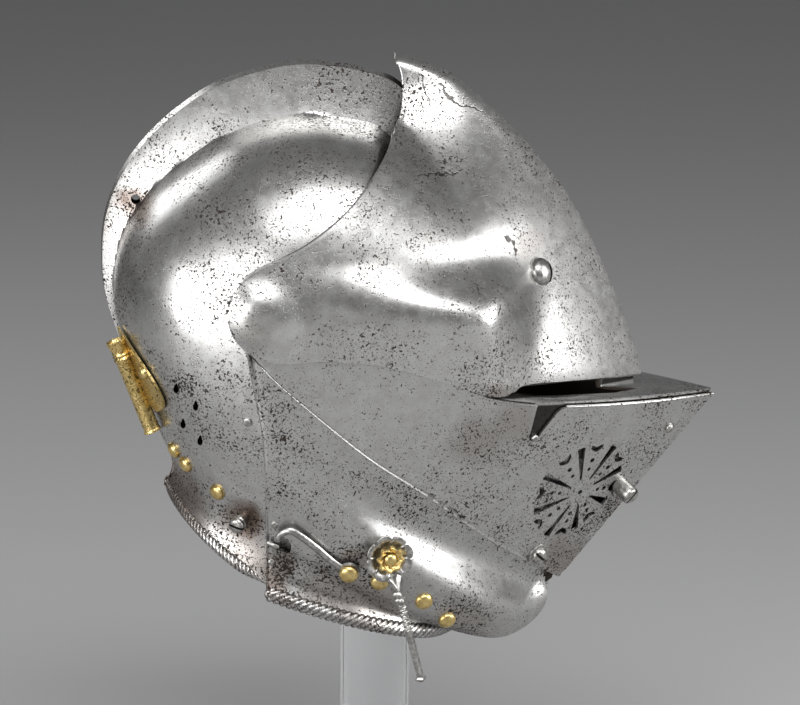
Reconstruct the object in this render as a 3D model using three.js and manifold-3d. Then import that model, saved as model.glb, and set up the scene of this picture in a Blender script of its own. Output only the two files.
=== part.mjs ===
// A close helmet held nose-down on a clear post stand, in millimetres, +Z up.
// The origin is the middle of the underside of the stand's base.
// The helmet has axes of its own: x forward, y to the wearer's left, z up, from the pivot axis.
import * as THREE from "three";
import { mergeVertices } from "three/addons/utils/BufferGeometryUtils.js";
import Module from "manifold-3d";

const wasm = await Module();
wasm.setup();

const rad = THREE.MathUtils.degToRad;
const { abs, atan2, cos, hypot, max, min, sin, PI } = Math;

// Driving dimensions
const PIVOT_HEIGHT = 305;
const PIVOT_BEHIND_POST = 62;
const NOSE_DOWN = rad(4);
const SKULL_WALL = 1.8;
const PLATE_WALL = 1.5;
const CLEARANCE = 0.3;
const BEAD_RADIUS = 2.6;

// Half-widths over the pivots, from the innermost plate to the outermost
const HALF = { bevor: 100, visor: 102, ventail: 104, brow: 106.2 };

// The prow is a straight line in the median plane, at this distance and angle from the pivots
const PROW_DISTANCE = 230.5;
const PROW_ANGLE = rad(-34.7);
const KEEL_POWER = 2.5;
const SHELF_Z = -41;

// Finishes
const steel = new THREE.MeshStandardMaterial({ color: 0xb5b3ae, roughness: 0.35, metalness: 1 });
const darkSteel = new THREE.MeshStandardMaterial({ color: 0x8e8b86, roughness: 0.45, metalness: 1 });
const brass = new THREE.MeshStandardMaterial({ color: 0xb8933f, roughness: 0.35, metalness: 1 });
const clear = new THREE.MeshStandardMaterial({ color: 0xdfe3e6, roughness: 0.05, metalness: 0 });

// A smooth curve through keyed values: rows of [at, value] in rising order of at
function keyed(rows) {
  const slope = (i) => {
    const a = rows[max(i - 1, 0)];
    const b = rows[min(i + 1, rows.length - 1)];
    return (b[1] - a[1]) / (b[0] - a[0]);
  };
  return (at) => {
    let i = 0;
    while (i < rows.length - 2 && at > rows[i + 1][0]) i += 1;
    const [a, b] = [rows[i], rows[i + 1]];
    const span = b[0] - a[0];
    const t = min(max((at - a[0]) / span, 0), 1);
    const u = 1 - t;
    return (
      a[1] * u * u * (1 + 2 * t) + slope(i) * span * u * u * t +
      b[1] * t * t * (3 - 2 * t) - slope(i + 1) * span * t * t * u
    );
  };
}

// A smooth curve for each column of a table, over its rows' order
function columns(rows) {
  const names = Object.keys(rows[0]);
  const curves = names.map((name) => keyed(rows.map((row, i) => [i / (rows.length - 1), row[name]])));
  return (at) => Object.fromEntries(names.map((name, i) => [name, curves[i](at)]));
}

function smoothMax(a, b, k) {
  const h = max(k - abs(a - b), 0) / k;
  return max(a, b) + (h * h * k) / 4;
}

function smoothMin(a, b, k) {
  return -smoothMax(-a, -b, k);
}

function smoothStep(from, to, x) {
  const t = min(max((x - from) / (to - from), 0), 1);
  return t * t * (3 - 2 * t);
}

// The skull: each row is a rib in the side view, from the comb's ridge to the hidden front edge
const SKULL_RIBS = columns([
  { ridgeX: 76, ridgeZ: 108.5, comb: 27, edgeX: 38, edgeZ: 14, half: 85.4, round: 2.5, sag: 0 },
  { ridgeX: 56, ridgeZ: 120.5, comb: 28, edgeX: 37, edgeZ: 5, half: 88.8, round: 2.5, sag: 0 },
  { ridgeX: 12, ridgeZ: 124, comb: 29, edgeX: 32, edgeZ: -8, half: 93.4, round: 2.5, sag: 0 },
  { ridgeX: -28, ridgeZ: 111, comb: 28, edgeX: 28, edgeZ: -19, half: 95.4, round: 2.5, sag: 0 },
  { ridgeX: -51, ridgeZ: 95, comb: 26, edgeX: 25, edgeZ: -27, half: 95.6, round: 2.5, sag: 0 },
  { ridgeX: -68.5, ridgeZ: 76.5, comb: 23, edgeX: 24, edgeZ: -35, half: 95.4, round: 2.5, sag: 0 },
  { ridgeX: -80.5, ridgeZ: 57, comb: 19, edgeX: 23, edgeZ: -44, half: 95.3, round: 2.5, sag: 0 },
  { ridgeX: -87, ridgeZ: 38, comb: 15, edgeX: 23, edgeZ: -53, half: 94.2, round: 2.5, sag: 0 },
  { ridgeX: -88.7, ridgeZ: 18, comb: 11, edgeX: 23, edgeZ: -64, half: 92.4, round: 2.5, sag: 0 },
  { ridgeX: -85.5, ridgeZ: -9.5, comb: 7, edgeX: 23, edgeZ: -79, half: 89, round: 2.45, sag: 0 },
  { ridgeX: -75, ridgeZ: -37, comb: 4.5, edgeX: 24, edgeZ: -96, half: 83.2, round: 2.4, sag: 0 },
  { ridgeX: -57, ridgeZ: -75, comb: 3, edgeX: 25, edgeZ: -114, half: 75, round: 2.3, sag: 0 },
  { ridgeX: -46, ridgeZ: -94, comb: 2, edgeX: 26, edgeZ: -129, half: 69, round: 2.2, sag: 1 },
  { ridgeX: -42, ridgeZ: -103, comb: 1.5, edgeX: 27, edgeZ: -143, half: 68.3, round: 2.15, sag: 3 },
  { ridgeX: -43.5, ridgeZ: -112, comb: 1, edgeX: 28, edgeZ: -155, half: 70.6, round: 2.1, sag: 4 },
]);
const COMB_TOP = 2.0;
const COMB_FOOT = 8.5;
const COMB_FILLET = 10;

// The half-width of a skull rib at a distance along it: the bowl, the comb, and the fillet between them
function skullWidth(rib, along) {
  const bowlEnd = rib.length - rib.comb;
  const bowl = along < bowlEnd ? rib.half * (1 - (along / bowlEnd) ** rib.round) ** (1 / rib.round) : 0;
  const up = min(max((rib.length - along) / max(rib.comb, 6), 0), 2);
  const comb = COMB_TOP + (COMB_FOOT - COMB_TOP) * up ** 1.5 * min(rib.comb / 20, 1);
  return smoothMax(bowl, min(comb, rib.half), COMB_FILLET * min(rib.comb / 20, 1) + 1);
}

function skullRib(u) {
  const rib = SKULL_RIBS(u);
  rib.length = hypot(rib.ridgeX - rib.edgeX, rib.ridgeZ - rib.edgeZ);
  rib.dirX = (rib.ridgeX - rib.edgeX) / rib.length;
  rib.dirZ = (rib.ridgeZ - rib.edgeZ) / rib.length;
  return rib;
}

// A place on a rib: along it in the side view, and out from the median plane
function onRib(rib, along, out) {
  const sag = 4 * rib.sag * (along / rib.length) * (1 - along / rib.length);
  return new THREE.Vector3(
    rib.edgeX + rib.dirX * along - abs(rib.dirZ) * sag * 0.3,
    out,
    rib.edgeZ + rib.dirZ * along - sag,
  );
}

// v runs from the comb's ridge, 0, to the front edge, 1; a third of the way is the comb and its fillet
const COMB_SHARE = 0.34;
function skullAlong(rib, v) {
  const bowlEnd = rib.length - rib.comb;
  const turn = 0.93 * bowlEnd;
  if (v < COMB_SHARE) return rib.length + (turn - rib.length) * (v / COMB_SHARE) ** 0.85;
  return turn * cos(((v - COMB_SHARE) / (1 - COMB_SHARE)) * (PI / 2)) ** 0.8;
}

function skullOuter(u, v) {
  const rib = skullRib(u);
  const along = skullAlong(rib, v);
  return onRib(rib, along, v === 0 ? 0 : skullWidth(rib, along));
}

function skullInner(u, v) {
  const rib = skullRib(u);
  const step = 0.5;
  const along = min(skullAlong(rib, v), rib.length - 3);
  const back = max(along - step, 0);
  const rise = (skullWidth(rib, along + step) - skullWidth(rib, back)) / (along + step - back);
  const tilt = hypot(1, rise);
  const out = skullWidth(rib, along) - SKULL_WALL / tilt;
  const inAlong = along + (SKULL_WALL * rise) / tilt;
  return v === 0 ? onRib(rib, rib.length - 3.2, 0) : onRib(rib, max(inAlong, 0), max(out, 0.35));
}

// The straight prow, and the keel of the brow, as radii from the pivots over the angle above forward
function prowRadius(angle) {
  return PROW_DISTANCE / cos(angle - PROW_ANGLE);
}

const browRadiusAt = keyed([
  [-25, 231], [-9.8, 213], [-1.9, 199], [8.1, 184.5], [22.5, 170.9], [28.2, 165.9],
  [39, 159], [48.2, 155.4], [52.7, 154.1], [60.4, 148.9], [64.5, 145.7], [76, 138],
]);
function browRadius(angle) {
  return browRadiusAt(THREE.MathUtils.radToDeg(angle));
}

function keeled(r, radius, half, power = KEEL_POWER) {
  return half * max(1 - (r / radius) ** power, 0);
}

function prowWidth(x, z, half, inset) {
  const angle = min(max(atan2(z, x), -1.3), 0.6);
  return keeled(hypot(x, z), prowRadius(angle) - inset, half);
}

// The brow is keeled in front, and towards its rear edge it takes the form of the skull's bowl and comb
const BROW_BOWL = { radius: 114, round: 2.3, combTop: 4.4, combFoot: 12, fillet: 16 };
function browWidth(x, z, half, inset) {
  const angle = atan2(z, x);
  const turned = min(max(angle, -0.4), 1.4);
  const r = hypot(x, z);
  const radius = browRadius(turned) - inset;
  const front = keeled(r, radius, half, 2.5);
  const bowlEnd = BROW_BOWL.radius - inset;
  const bowl = r < bowlEnd ? half * (1 - (r / bowlEnd) ** BROW_BOWL.round) ** (1 / BROW_BOWL.round) : 0;
  const up = max((radius - r) / (radius - bowlEnd), 0);
  const comb = BROW_BOWL.combTop - inset + (BROW_BOWL.combFoot - BROW_BOWL.combTop) * up ** 1.5;
  const rear = min(smoothMax(bowl, comb, BROW_BOWL.fillet), half);
  const share = smoothStep(rad(20), rad(66), turned);
  const edge = smoothStep(0, 6, radius - r);
  return edge * (front + (rear - front) * share) + (1 - edge) * front;
}

// A patch in the side view between a lower and an upper edge curve, the median line and an end line
function patch({ lower, upper, median }) {
  return (u, v) => {
    const low = lower(v);
    const high = upper(v);
    const mid = median(u);
    const [low0, high0] = [lower(0), upper(0)];
    return [0, 1].map((k) => {
      const across = low[k] * (1 - u) + high[k] * u;
      const bow = mid[k] - (low0[k] * (1 - u) + high0[k] * u);
      return across + bow * (1 - v) ** 1.5;
    });
  };
}

// An edge curve in the side view through its points, by share of its length
function edge(points) {
  const spline = new THREE.SplineCurve(points.map(([x, z]) => new THREE.Vector2(x, z)));
  spline.arcLengthDivisions = 400;
  return (t) => {
    const p = spline.getPointAt(min(max(t, 0), 1));
    return [p.x, p.y];
  };
}

// A surface from a side-view patch and a half-width at each place
function surface(place, width) {
  return (u, v) => {
    const [x, z] = place(u, v);
    return new THREE.Vector3(x, v === 0 ? 0 : width(x, z, u, v), z);
  };
}

// The unit normal of a surface, out from the helmet; on the median line it lies in that plane
function normalAt(face, u, v) {
  const h = 1e-3;
  const [u0, u1] = [max(u - h, 0), min(u + h, 1)];
  const [v0, v1] = v < 2 * h ? [h, 3 * h] : [v - h, min(v + h, 1)];
  const vAt = max(v, 2 * h);
  const du = face(u1, vAt).sub(face(u0, vAt));
  const dv = face(u, v1).sub(face(u, v0));
  const n = du.cross(dv).normalize();
  if (n.y < 0) n.negate();
  return n;
}

function insetOf(face, wall) {
  return (u, v) => {
    const n = normalAt(face, u, v);
    if (v > 0) {
      const p = face(u, v).addScaledVector(n, -wall);
      p.y = max(p.y, 0.2);
      return p;
    }
    const flat = new THREE.Vector3(n.x, 0, n.z);
    const share = flat.length();
    return face(u, 0).addScaledVector(flat.normalize(), -wall / max(share, 0.35));
  };
}

// The points of a round bead on a plate's lower edge, from its outer face round to its inner face
function beadPoints(outer, inner, down, radius, sides) {
  const out = outer.clone().sub(inner).normalize();
  const centre = outer.clone().add(inner).multiplyScalar(0.5).addScaledVector(down, radius * 0.8);
  return Array.from({ length: sides }, (_, i) => {
    const turn = rad(40) + (rad(280) * i) / (sides - 1);
    return centre.clone()
      .addScaledVector(out, radius * sin(turn))
      .addScaledVector(down, -radius * cos(turn));
  });
}

// A closed plate on both sides of the median plane: one section loop for each column
function plate({ outer, inner, rows, cols, bead }) {
  const vs = [...cols].reverse().map((v) => [v, -1]).concat(cols.slice(1).map((v) => [v, 1]));
  const loops = vs.map(([v, side]) => {
    const outs = rows.map((u) => outer(u, v));
    const ins = rows.map((u) => inner(u, v));
    let foot = [];
    if (bead) {
      const down = outs[0].clone().sub(outs[1]).normalize();
      foot = beadPoints(outs[0], ins[0], down, bead(v), 6);
    }
    const loop = [...outs.reverse(), ...foot, ...ins];
    return loop.map((p) => new THREE.Vector3(p.x, p.y * side, p.z));
  });
  return loftSolid(loops);
}

// A solid through closed loops of equal count, with a strip over the first and the last
function loftSolid(loops) {
  const n = loops[0].length;
  const positions = loops.flat().flatMap((p) => [p.x, p.y, p.z]);
  const faces = [];
  for (let i = 0; i + 1 < loops.length; i += 1) {
    for (let k = 0; k < n; k += 1) {
      const next = (k + 1) % n;
      const [a, b, c, d] = [i * n + k, i * n + next, (i + 1) * n + next, (i + 1) * n + k];
      faces.push(a, b, c, a, c, d);
    }
  }
  for (const [base, turned] of [[0, true], [(loops.length - 1) * n, false]]) {
    for (let k = 0; 2 * k + 3 < n + 1; k += 1) {
      const [a, b, c, d] = [base + k, base + k + 1, base + n - 2 - k, base + n - 1 - k];
      const pair = b === c ? [[a, b, d]] : [[a, b, c], [a, c, d]];
      for (const t of pair) faces.push(...(turned ? [t[0], t[2], t[1]] : t));
    }
  }
  const geometry = new THREE.BufferGeometry();
  geometry.setAttribute("position", new THREE.Float32BufferAttribute(positions, 3));
  geometry.setIndex(faces);
  return solid(geometry);
}

function solid(geometry) {
  const bare = geometry.clone();
  bare.deleteAttribute("normal");
  bare.deleteAttribute("uv");
  const merged = mergeVertices(bare, 1e-4);
  const vertProperties = new Float32Array(merged.attributes.position.array);
  const triVerts = new Uint32Array(merged.index.array);
  const body = new wasm.Manifold(new wasm.Mesh({ numProp: 3, vertProperties, triVerts }));
  if (body.volume() > 0) return body;
  const turned = new Uint32Array(triVerts.length);
  for (let i = 0; i < triVerts.length; i += 3) {
    turned.set([triVerts[i], triVerts[i + 2], triVerts[i + 1]], i);
  }
  return new wasm.Manifold(new wasm.Mesh({ numProp: 3, vertProperties, triVerts: turned }));
}

function geometryOf(body) {
  const mesh = body.getMesh();
  const geometry = new THREE.BufferGeometry();
  geometry.setAttribute("position", new THREE.Float32BufferAttribute(mesh.vertProperties, 3));
  geometry.setIndex([...mesh.triVerts]);
  geometry.computeVertexNormals();
  return geometry;
}

function named(name, geometry, material) {
  const mesh = new THREE.Mesh(geometry, material);
  mesh.name = name;
  return mesh;
}

function spaced(count, warp = 1) {
  return Array.from({ length: count + 1 }, (_, i) => (i / count) ** warp);
}

// Edges of the plates in the side view, in helmet axes
const skullFace = { outer: (u, v) => skullOuter(1 - u, v), inner: (u, v) => skullInner(1 - u, v) };

const PROW_LOW = [174.2, -152.7];
const PROW_TIP = [250.3, -43.8];
const ventailLower = edge([
  PROW_LOW, [150, -136.4], [127, -120], [95, -95.3], [64, -75], [42, -58.5], [20, -41.5], [7, -31],
  [-9, -15], [-17, -5],
]);
const ventailUpper = edge([
  PROW_TIP, [209, -44.2], [165, -43.6], [149, -42.4], [127, -38.5], [100, -28], [77, -17.5], [47, -5],
  [20, 10], [0, 15],
  [-12, 10], [-17, -1],
]);
const ventailOuter = surface(
  patch({
    lower: ventailLower,
    upper: ventailUpper,
    median: (u) => [0, 1].map((k) => PROW_LOW[k] + (PROW_TIP[k] - PROW_LOW[k]) * u),
  }),
  (x, z) => prowWidth(x, z, HALF.ventail, 0),
);

const browLower = edge([
  [209, -36.5], [185, -34.5], [166, -33], [146, -32.5], [138, -34], [131, -37.4], [115, -34], [88, -26],
  [64, -20.7],
  [47, -19.9], [32, -19.9], [16, -22], [2.4, -21], [-9, -14.3], [-14.5, -7], [-17.6, 2],
]);
const browUpper = edge([
  [62.5, 131.8], [67, 119], [67.5, 103.5], [64.8, 94.6], [60, 83], [41.2, 58.5], [18, 39.5], [-5, 27.5],
  [-13.5, 18.5],
  [-17.8, 6.5],
]);
const BROW_FROM = rad(-9.9);
const BROW_TO = rad(64.6);
function browMedian(u) {
  const angle = BROW_FROM + (BROW_TO - BROW_FROM) * u;
  const radius = browRadius(angle);
  return [radius * cos(angle), radius * sin(angle)];
}
const ARM_FLARE = 1.1;
const BOSS = { radius: 26, rise: 5.5 };
function reinforceWidth(x, z) {
  const own = browWidth(x, z, HALF.brow, 0);
  const r = hypot(x, z);
  const flare = (1 - smoothStep(116, 150, x)) * (1 - smoothStep(8, 34, z));
  const over = prowWidth(x, min(z, 0), HALF.brow, 0) + smoothStep(40, 110, r) * ARM_FLARE;
  const boss = BOSS.rise * (1 - smoothStep(6, BOSS.radius, r));
  return own + flare * (smoothMax(own, over, 1) - own) + boss;
}
const browPatch = patch({ lower: browLower, upper: browUpper, median: browMedian });
const browOuter = surface(browPatch, reinforceWidth);

// The visor: rows from the skirt inside the ventail, over the shelf, up the brow
const visorUpper = edge([[84, 124], [77, 108], [66, 84], [50, 56], [26, 28], [6, 19], [-9, 12], [-15, 4]]);
const visorLower = edge([
  [213.5, -92], [184, -80], [144, -64], [100, -45], [60, -32], [24, -21], [4, -17], [-12, -9], [-15, -2],
]);
const SKIRT_INSET = 2.6;
const WALL_INSET = 4.9;
const edgeRim = edge([
  [248.9, SHELF_Z], [200, SHELF_Z], [150, SHELF_Z], [125, -35.5], [100, -26], [60, -13], [24, -4],
  [4, -2], [-12, 0], [-15, 0.3],
]);
const wallFoot = edge([
  [205, SHELF_Z], [180, -39], [144, -38], [122, -31], [100, -22.5], [60, -10.5], [24, -3], [4, -1],
  [-12, 1], [-15, 1.2],
]);
const SECTION = { skirt: 0.3, shelf: 0.45 };
function visorSection(u, v) {
  const low = visorLower(v);
  const rim = edgeRim(v);
  const foot = wallFoot(v);
  const high = visorUpper(v);
  let place;
  if (u <= SECTION.skirt) {
    const t = u / SECTION.skirt;
    place = [low[0] + (rim[0] - low[0]) * t, low[1] + (rim[1] - low[1]) * t];
    const y = v === 0 ? 0 : prowWidth(place[0], place[1], HALF.visor, SKIRT_INSET);
    if (v === 0) place = medianProw(place[1], SKIRT_INSET);
    return new THREE.Vector3(place[0], y, place[1]);
  }
  if (u >= SECTION.shelf) {
    const t = (u - SECTION.shelf) / (1 - SECTION.shelf);
    place = [foot[0] + (high[0] - foot[0]) * t, foot[1] + (high[1] - foot[1]) * t];
    const a0 = atan2(wallFoot(0)[1], wallFoot(0)[0]);
    const a1 = atan2(visorUpper(0)[1], visorUpper(0)[0]);
    const angle = a0 + (a1 - a0) * t;
    const radius = browRadius(angle) - WALL_INSET;
    const bow = (1 - v) ** 1.5;
    const line = [0, 1].map((k) => wallFoot(0)[k] * (1 - t) + visorUpper(0)[k] * t);
    place[0] += (radius * cos(angle) - line[0]) * bow;
    place[1] += (radius * sin(angle) - line[1]) * bow;
    const y = v === 0 ? 0 : browWidth(place[0], place[1], HALF.visor, WALL_INSET);
    return new THREE.Vector3(place[0], y, place[1]);
  }
  const t = (u - SECTION.skirt) / (SECTION.shelf - SECTION.skirt);
  const a = visorSection(SECTION.skirt, v);
  const b = visorSection(SECTION.shelf, v);
  return a.lerp(b, t);
}
function medianProw(z, inset) {
  const distance = PROW_DISTANCE - inset;
  return [(distance - z * sin(PROW_ANGLE)) / cos(PROW_ANGLE), z];
}

// The bevor: ribs from the median line to the rear edge, neck rim first
const BEVOR_RIBS = columns([
  { midX: 119, midZ: -180, edgeX: 13, edgeZ: -153, half: 76, power: 2.2, root: 2.1, sag: 2 },
  { midX: 123, midZ: -178, edgeX: 12, edgeZ: -141, half: 72, power: 2.2, root: 2.0, sag: 2 },
  { midX: 134, midZ: -185, edgeX: 11, edgeZ: -129, half: 73, power: 2.2, root: 1.8, sag: 2 },
  { midX: 146, midZ: -188, edgeX: 10, edgeZ: -117, half: 79, power: 2.25, root: 1.5, sag: 1 },
  { midX: 159, midZ: -181, edgeX: 8.8, edgeZ: -101, half: 85.4, power: 2.3, root: 1.3, sag: 0 },
  { midX: 168, midZ: -168, edgeX: 7, edgeZ: -82, half: 93, power: 2.4, root: 1.15, sag: 0 },
  { midX: 169.5, midZ: -150, edgeX: 4.7, edgeZ: -65, half: 96.5, power: 2.45, root: 1.05, sag: 0 },
  { midX: 181, midZ: -132, edgeX: 0.6, edgeZ: -48, half: 98.5, power: 2.5, root: 1, sag: 0 },
  { midX: 194, midZ: -113, edgeX: -4, edgeZ: -31, half: 99.6, power: 2.5, root: 1, sag: 0 },
  { midX: 202.5, midZ: -97, edgeX: -8, edgeZ: -16, half: 100, power: 2.5, root: 1, sag: 0 },
  { midX: 208, midZ: -85, edgeX: -14, edgeZ: -3, half: 100, power: 2.5, root: 1, sag: 0 },
]);
const BEVOR_UNDER_VENTAIL = 6;
function bevorOuter(u, v) {
  const rib = BEVOR_RIBS(u);
  const q = 1 - v;
  const sag = 4 * rib.sag * q * v;
  const x = rib.edgeX + (rib.midX - rib.edgeX) * q;
  const z = rib.edgeZ + (rib.midZ - rib.edgeZ) * q - sag * 0.6;
  const ribWidth = rib.half * (1 - q ** rib.power) ** (1 / rib.root);
  const under = keeled(hypot(x, z), PROW_DISTANCE - BEVOR_UNDER_VENTAIL, HALF.bevor);
  const cover = smoothStep(0.42, 0.6, u);
  const width = ribWidth + cover * (smoothMin(ribWidth, under, 3) - ribWidth);
  return new THREE.Vector3(x, v === 0 ? 0 : width, z);
}

// Half-width tapers of the beads, which stop where the bevor laps over the skull
const skullBead = (v) => 0.95 + (BEAD_RADIUS - 0.95) * (1 - smoothStep(0.78, 0.86, v));
const bevorBead = () => BEAD_RADIUS;

const skullBody = plate({ ...skullFace, rows: spaced(15), cols: spaced(11), bead: skullBead });
const bevorBody = plate({
  outer: bevorOuter, inner: insetOf(bevorOuter, PLATE_WALL),
  rows: spaced(11), cols: spaced(9, 1.3), bead: bevorBead,
});
const ventailBody = plate({
  outer: ventailOuter, inner: insetOf(ventailOuter, PLATE_WALL), rows: spaced(3), cols: spaced(12, 1.1),
});
const browBody = plate({
  outer: browOuter, inner: insetOf(browOuter, PLATE_WALL), rows: spaced(8), cols: spaced(15, 1.15),
});
const visorBody = plate({
  outer: visorSection, inner: insetOf(visorSection, PLATE_WALL),
  rows: [0, 0.15, 0.3, 0.45, 0.65, 0.85, 1], cols: spaced(12, 0.9),
});

// The place on a surface nearest to a point of the side view, with its normal
function seat(face, x, z) {
  let best = { far: Infinity, u: 0.5, v: 0.5 };
  for (let span = 0.5, step = 0.05; step > 1e-4; span = step * 1.5, step /= 4) {
    const { u: cu, v: cv } = best;
    for (let u = max(cu - span, 0); u <= min(cu + span, 1); u += step) {
      for (let v = max(cv - span, 0.004); v <= min(cv + span, 1); v += step) {
        const p = face(u, v);
        const far = hypot(p.x - x, p.z - z);
        if (far < best.far) best = { far, u, v };
      }
    }
  }
  return { point: face(best.u, best.v), normal: normalAt(face, best.u, best.v) };
}

// A prism through an outline, along a direction; the outline's axes are across and up in the side view
function prism(outline, depth) {
  const shape = new THREE.Shape(outline.map(([x, y]) => new THREE.Vector2(x, y)));
  const geometry = new THREE.ExtrudeGeometry(shape, { depth, bevelEnabled: false, steps: 1 });
  geometry.translate(0, 0, -depth / 2);
  return geometry;
}

// Cutters that run across the helmet, through the side at the given y, from an outline in the side view
function sideCutter(outline, side, from, depth) {
  const geometry = prism(outline, depth);
  geometry.rotateX(PI / 2);
  geometry.translate(0, side * (from + depth / 2), 0);
  return solid(geometry);
}

function circle(x, y, radius, sides, turn = 0) {
  return Array.from({ length: sides }, (_, i) => {
    const angle = turn + (2 * PI * i) / sides;
    return [x + radius * cos(angle), y + radius * sin(angle)];
  });
}

// The turn that carries +Z to a normal, with +Y as near the helmet's up as it can be
function facing(normal, roll = 0) {
  const up = new THREE.Vector3(0, 0, 1);
  const across = up.clone().cross(normal).normalize();
  const rise = normal.clone().cross(across);
  const basis = new THREE.Matrix4().makeBasis(across, rise, normal);
  const turn = new THREE.Quaternion().setFromRotationMatrix(basis);
  return turn.multiply(new THREE.Quaternion().setFromAxisAngle(new THREE.Vector3(0, 0, 1), roll));
}

function mirrored(spot, side) {
  const flip = new THREE.Vector3(1, side, 1);
  return { point: spot.point.clone().multiply(flip), normal: spot.normal.clone().multiply(flip) };
}

// A turned piece: its profile runs from the axis at the top round to the axis at the bottom, along +Z
function turned(profile, sides) {
  const geometry = new THREE.LatheGeometry(profile.map(([r, z]) => new THREE.Vector2(r, z)), sides);
  return solid(geometry.rotateX(PI / 2));
}

function boxAt(width, depth, height, x, y, z, roll = 0) {
  return solid(new THREE.BoxGeometry(width, depth, height).rotateZ(roll).translate(x, y, z));
}

function dome(radius, height, sides) {
  const shoulder = [radius * 0.93, height * 0.45];
  return turned([[0, 0], [radius, 0], shoulder, [radius * 0.62, height * 0.85], [0, height]], sides);
}

function slotted(body, radius, height, roll) {
  return body.subtract(boxAt(2.4 * radius, 1.3, height, 0, 0, height, roll));
}

const helmet = new THREE.Group();
helmet.position.set(-PIVOT_BEHIND_POST, 0, PIVOT_HEIGHT);
helmet.rotation.y = NOSE_DOWN;

// Places a body on a seat, clear of it by the gap that touching pieces keep
function mount(name, body, material, spot, { lift = CLEARANCE, roll = 0 } = {}) {
  const mesh = named(name, geometryOf(body), material);
  mesh.position.copy(spot.point).addScaledVector(spot.normal, lift);
  mesh.quaternion.copy(facing(spot.normal, roll));
  helmet.add(mesh);
  return mesh;
}

const RIGHT = -1;
const SIDES = [["right", RIGHT], ["left", 1]];
const skullSeat = (x, z) => seat(skullOuter, x, z);
const bevorSeat = (x, z) => seat(bevorOuter, x, z);
const ventailSeat = (x, z) => seat(ventailOuter, x, z);
const browSeat = (x, z) => seat(browOuter, x, z);
const skirtSeat = (x, z) => seat((u, v) => visorSection(u * SECTION.skirt, v), x, z);

// Openings of the skull: the hole in the comb, and the drop-shaped holes over the ears
const COMB_HOLE = { x: -71.5, z: 42.5, radius: 2.5 };
const EAR_HOLES = [[-42.6, -46.5], [-31.6, -53.9], [-37.6, -66.9], [-27.9, -74.3]];
function drop(x, z) {
  return [[x, z + 3.6], [x - 1.5, z - 0.4], [x - 1, z - 2.6], [x + 1, z - 2.6], [x + 1.5, z - 0.4]];
}
const combHole = circle(COMB_HOLE.x, COMB_HOLE.z, COMB_HOLE.radius, 8);
let skull = skullBody.subtract(sideCutter(combHole, 1, -60, 120));
for (const [x, z] of EAR_HOLES) skull = skull.subtract(sideCutter(drop(x, z), 1, -120, 240));

// The pivots run through the three inner plates
const PIVOT = { shank: 3, hole: 3.6, head: 7, headHeight: 2.6 };
const pivotHole = () => sideCutter(circle(0, 0, PIVOT.hole, 10), 1, -120, 240);

// The hole by the bevor's rear edge, behind the catch
const KEYHOLE = [
  [15.5, -124], [19, -122.6], [23.5, -124.5], [24, -128.5], [20.5, -129.5], [17.5, -127.8], [15.6, -128.6],
];
const bevor = bevorBody.subtract(pivotHole()).subtract(sideCutter(KEYHOLE, RIGHT, 50, 60));

// The sight slits: the lower part of the brow and the inner part of the shelf, open in plan
const SIGHT = { top: -34.3, bottom: -46 };
const SIGHT_PLAN = [
  [134.2, 69.3], [142.1, 66.2], [152, 60.6], [171, 48], [193.5, 34.5], [207.4, 18.7], [183, 23.7],
  [160, 35.6], [134.2, 50],
];
function sightCutter(side) {
  const geometry = prism(SIGHT_PLAN.map(([x, y]) => [x, side * y]), SIGHT.top - SIGHT.bottom);
  return solid(geometry.translate(0, 0, (SIGHT.top + SIGHT.bottom) / 2));
}
const visor = visorBody.subtract(pivotHole()).subtract(sightCutter(1)).subtract(sightCutter(RIGHT));

// The ventail: notches in its edges, and the rosette cut through it on both sides
const NOTCH = { x: 150.1, z: -61.1, round: 2.9 };
function notchOutline() {
  const bottom = [190, 220, 250, 280, 310, 340].map((angle) => {
    return [NOTCH.round * cos(rad(angle)), NOTCH.round * sin(rad(angle))];
  });
  return [...bottom, [10.6, 14.6], [15.4, 17.6], [15.4, 24.5], [-3, 24.5]];
}
const TEETH = [[97.5, -94.6], [103.5, -99.3], [109, -103.6], [114.8, -108]];
const TOOTH = [[-4.5, 2.2], [2.4, 1], [0.8, -0.6], [0.6, -5], [-6, -5]];
const ROSETTE = { x: 179.8, z: -97.9, radius: 29.2, inner: 8.6, slots: 8, shift: [-0.4, 1.8] };
function rosetteOutlines() {
  const cuts = [circle(0, 0, 1.3, 4)];
  const at = (r, angle, off) => [
    r * cos(angle) - off * sin(angle) + (ROSETTE.shift[0] * r) / ROSETTE.radius,
    r * sin(angle) + off * cos(angle) + (ROSETTE.shift[1] * r) / ROSETTE.radius,
  ];
  for (let i = 0; i < ROSETTE.slots; i += 1) {
    const spoke = ((i + 0.5) * 2 * PI) / ROSETTE.slots;
    const between = (i * 2 * PI) / ROSETTE.slots;
    const [near, far] = [ROSETTE.inner, ROSETTE.radius];
    cuts.push([at(near, spoke, -0.5), at(far, spoke, -1.9), at(far, spoke, 1.9), at(near, spoke, 0.5)]);
    const [root, tip, back] = [far - 3.4, far - 0.4, far - 1.4];
    cuts.push([at(root, between, 0), at(tip, between, -3), at(back, between, 0), at(tip, between, 3)]);
  }
  return cuts;
}
function onSeatCutter(outline, spot, depth) {
  const hand = spot.normal.y < 0 ? 1 : -1;
  const geometry = prism(outline.map(([x, y]) => [hand * x, y]), depth);
  geometry.applyQuaternion(facing(spot.normal));
  geometry.translate(...spot.point.toArray());
  return solid(geometry);
}
let ventail = ventailBody.subtract(pivotHole());
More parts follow.
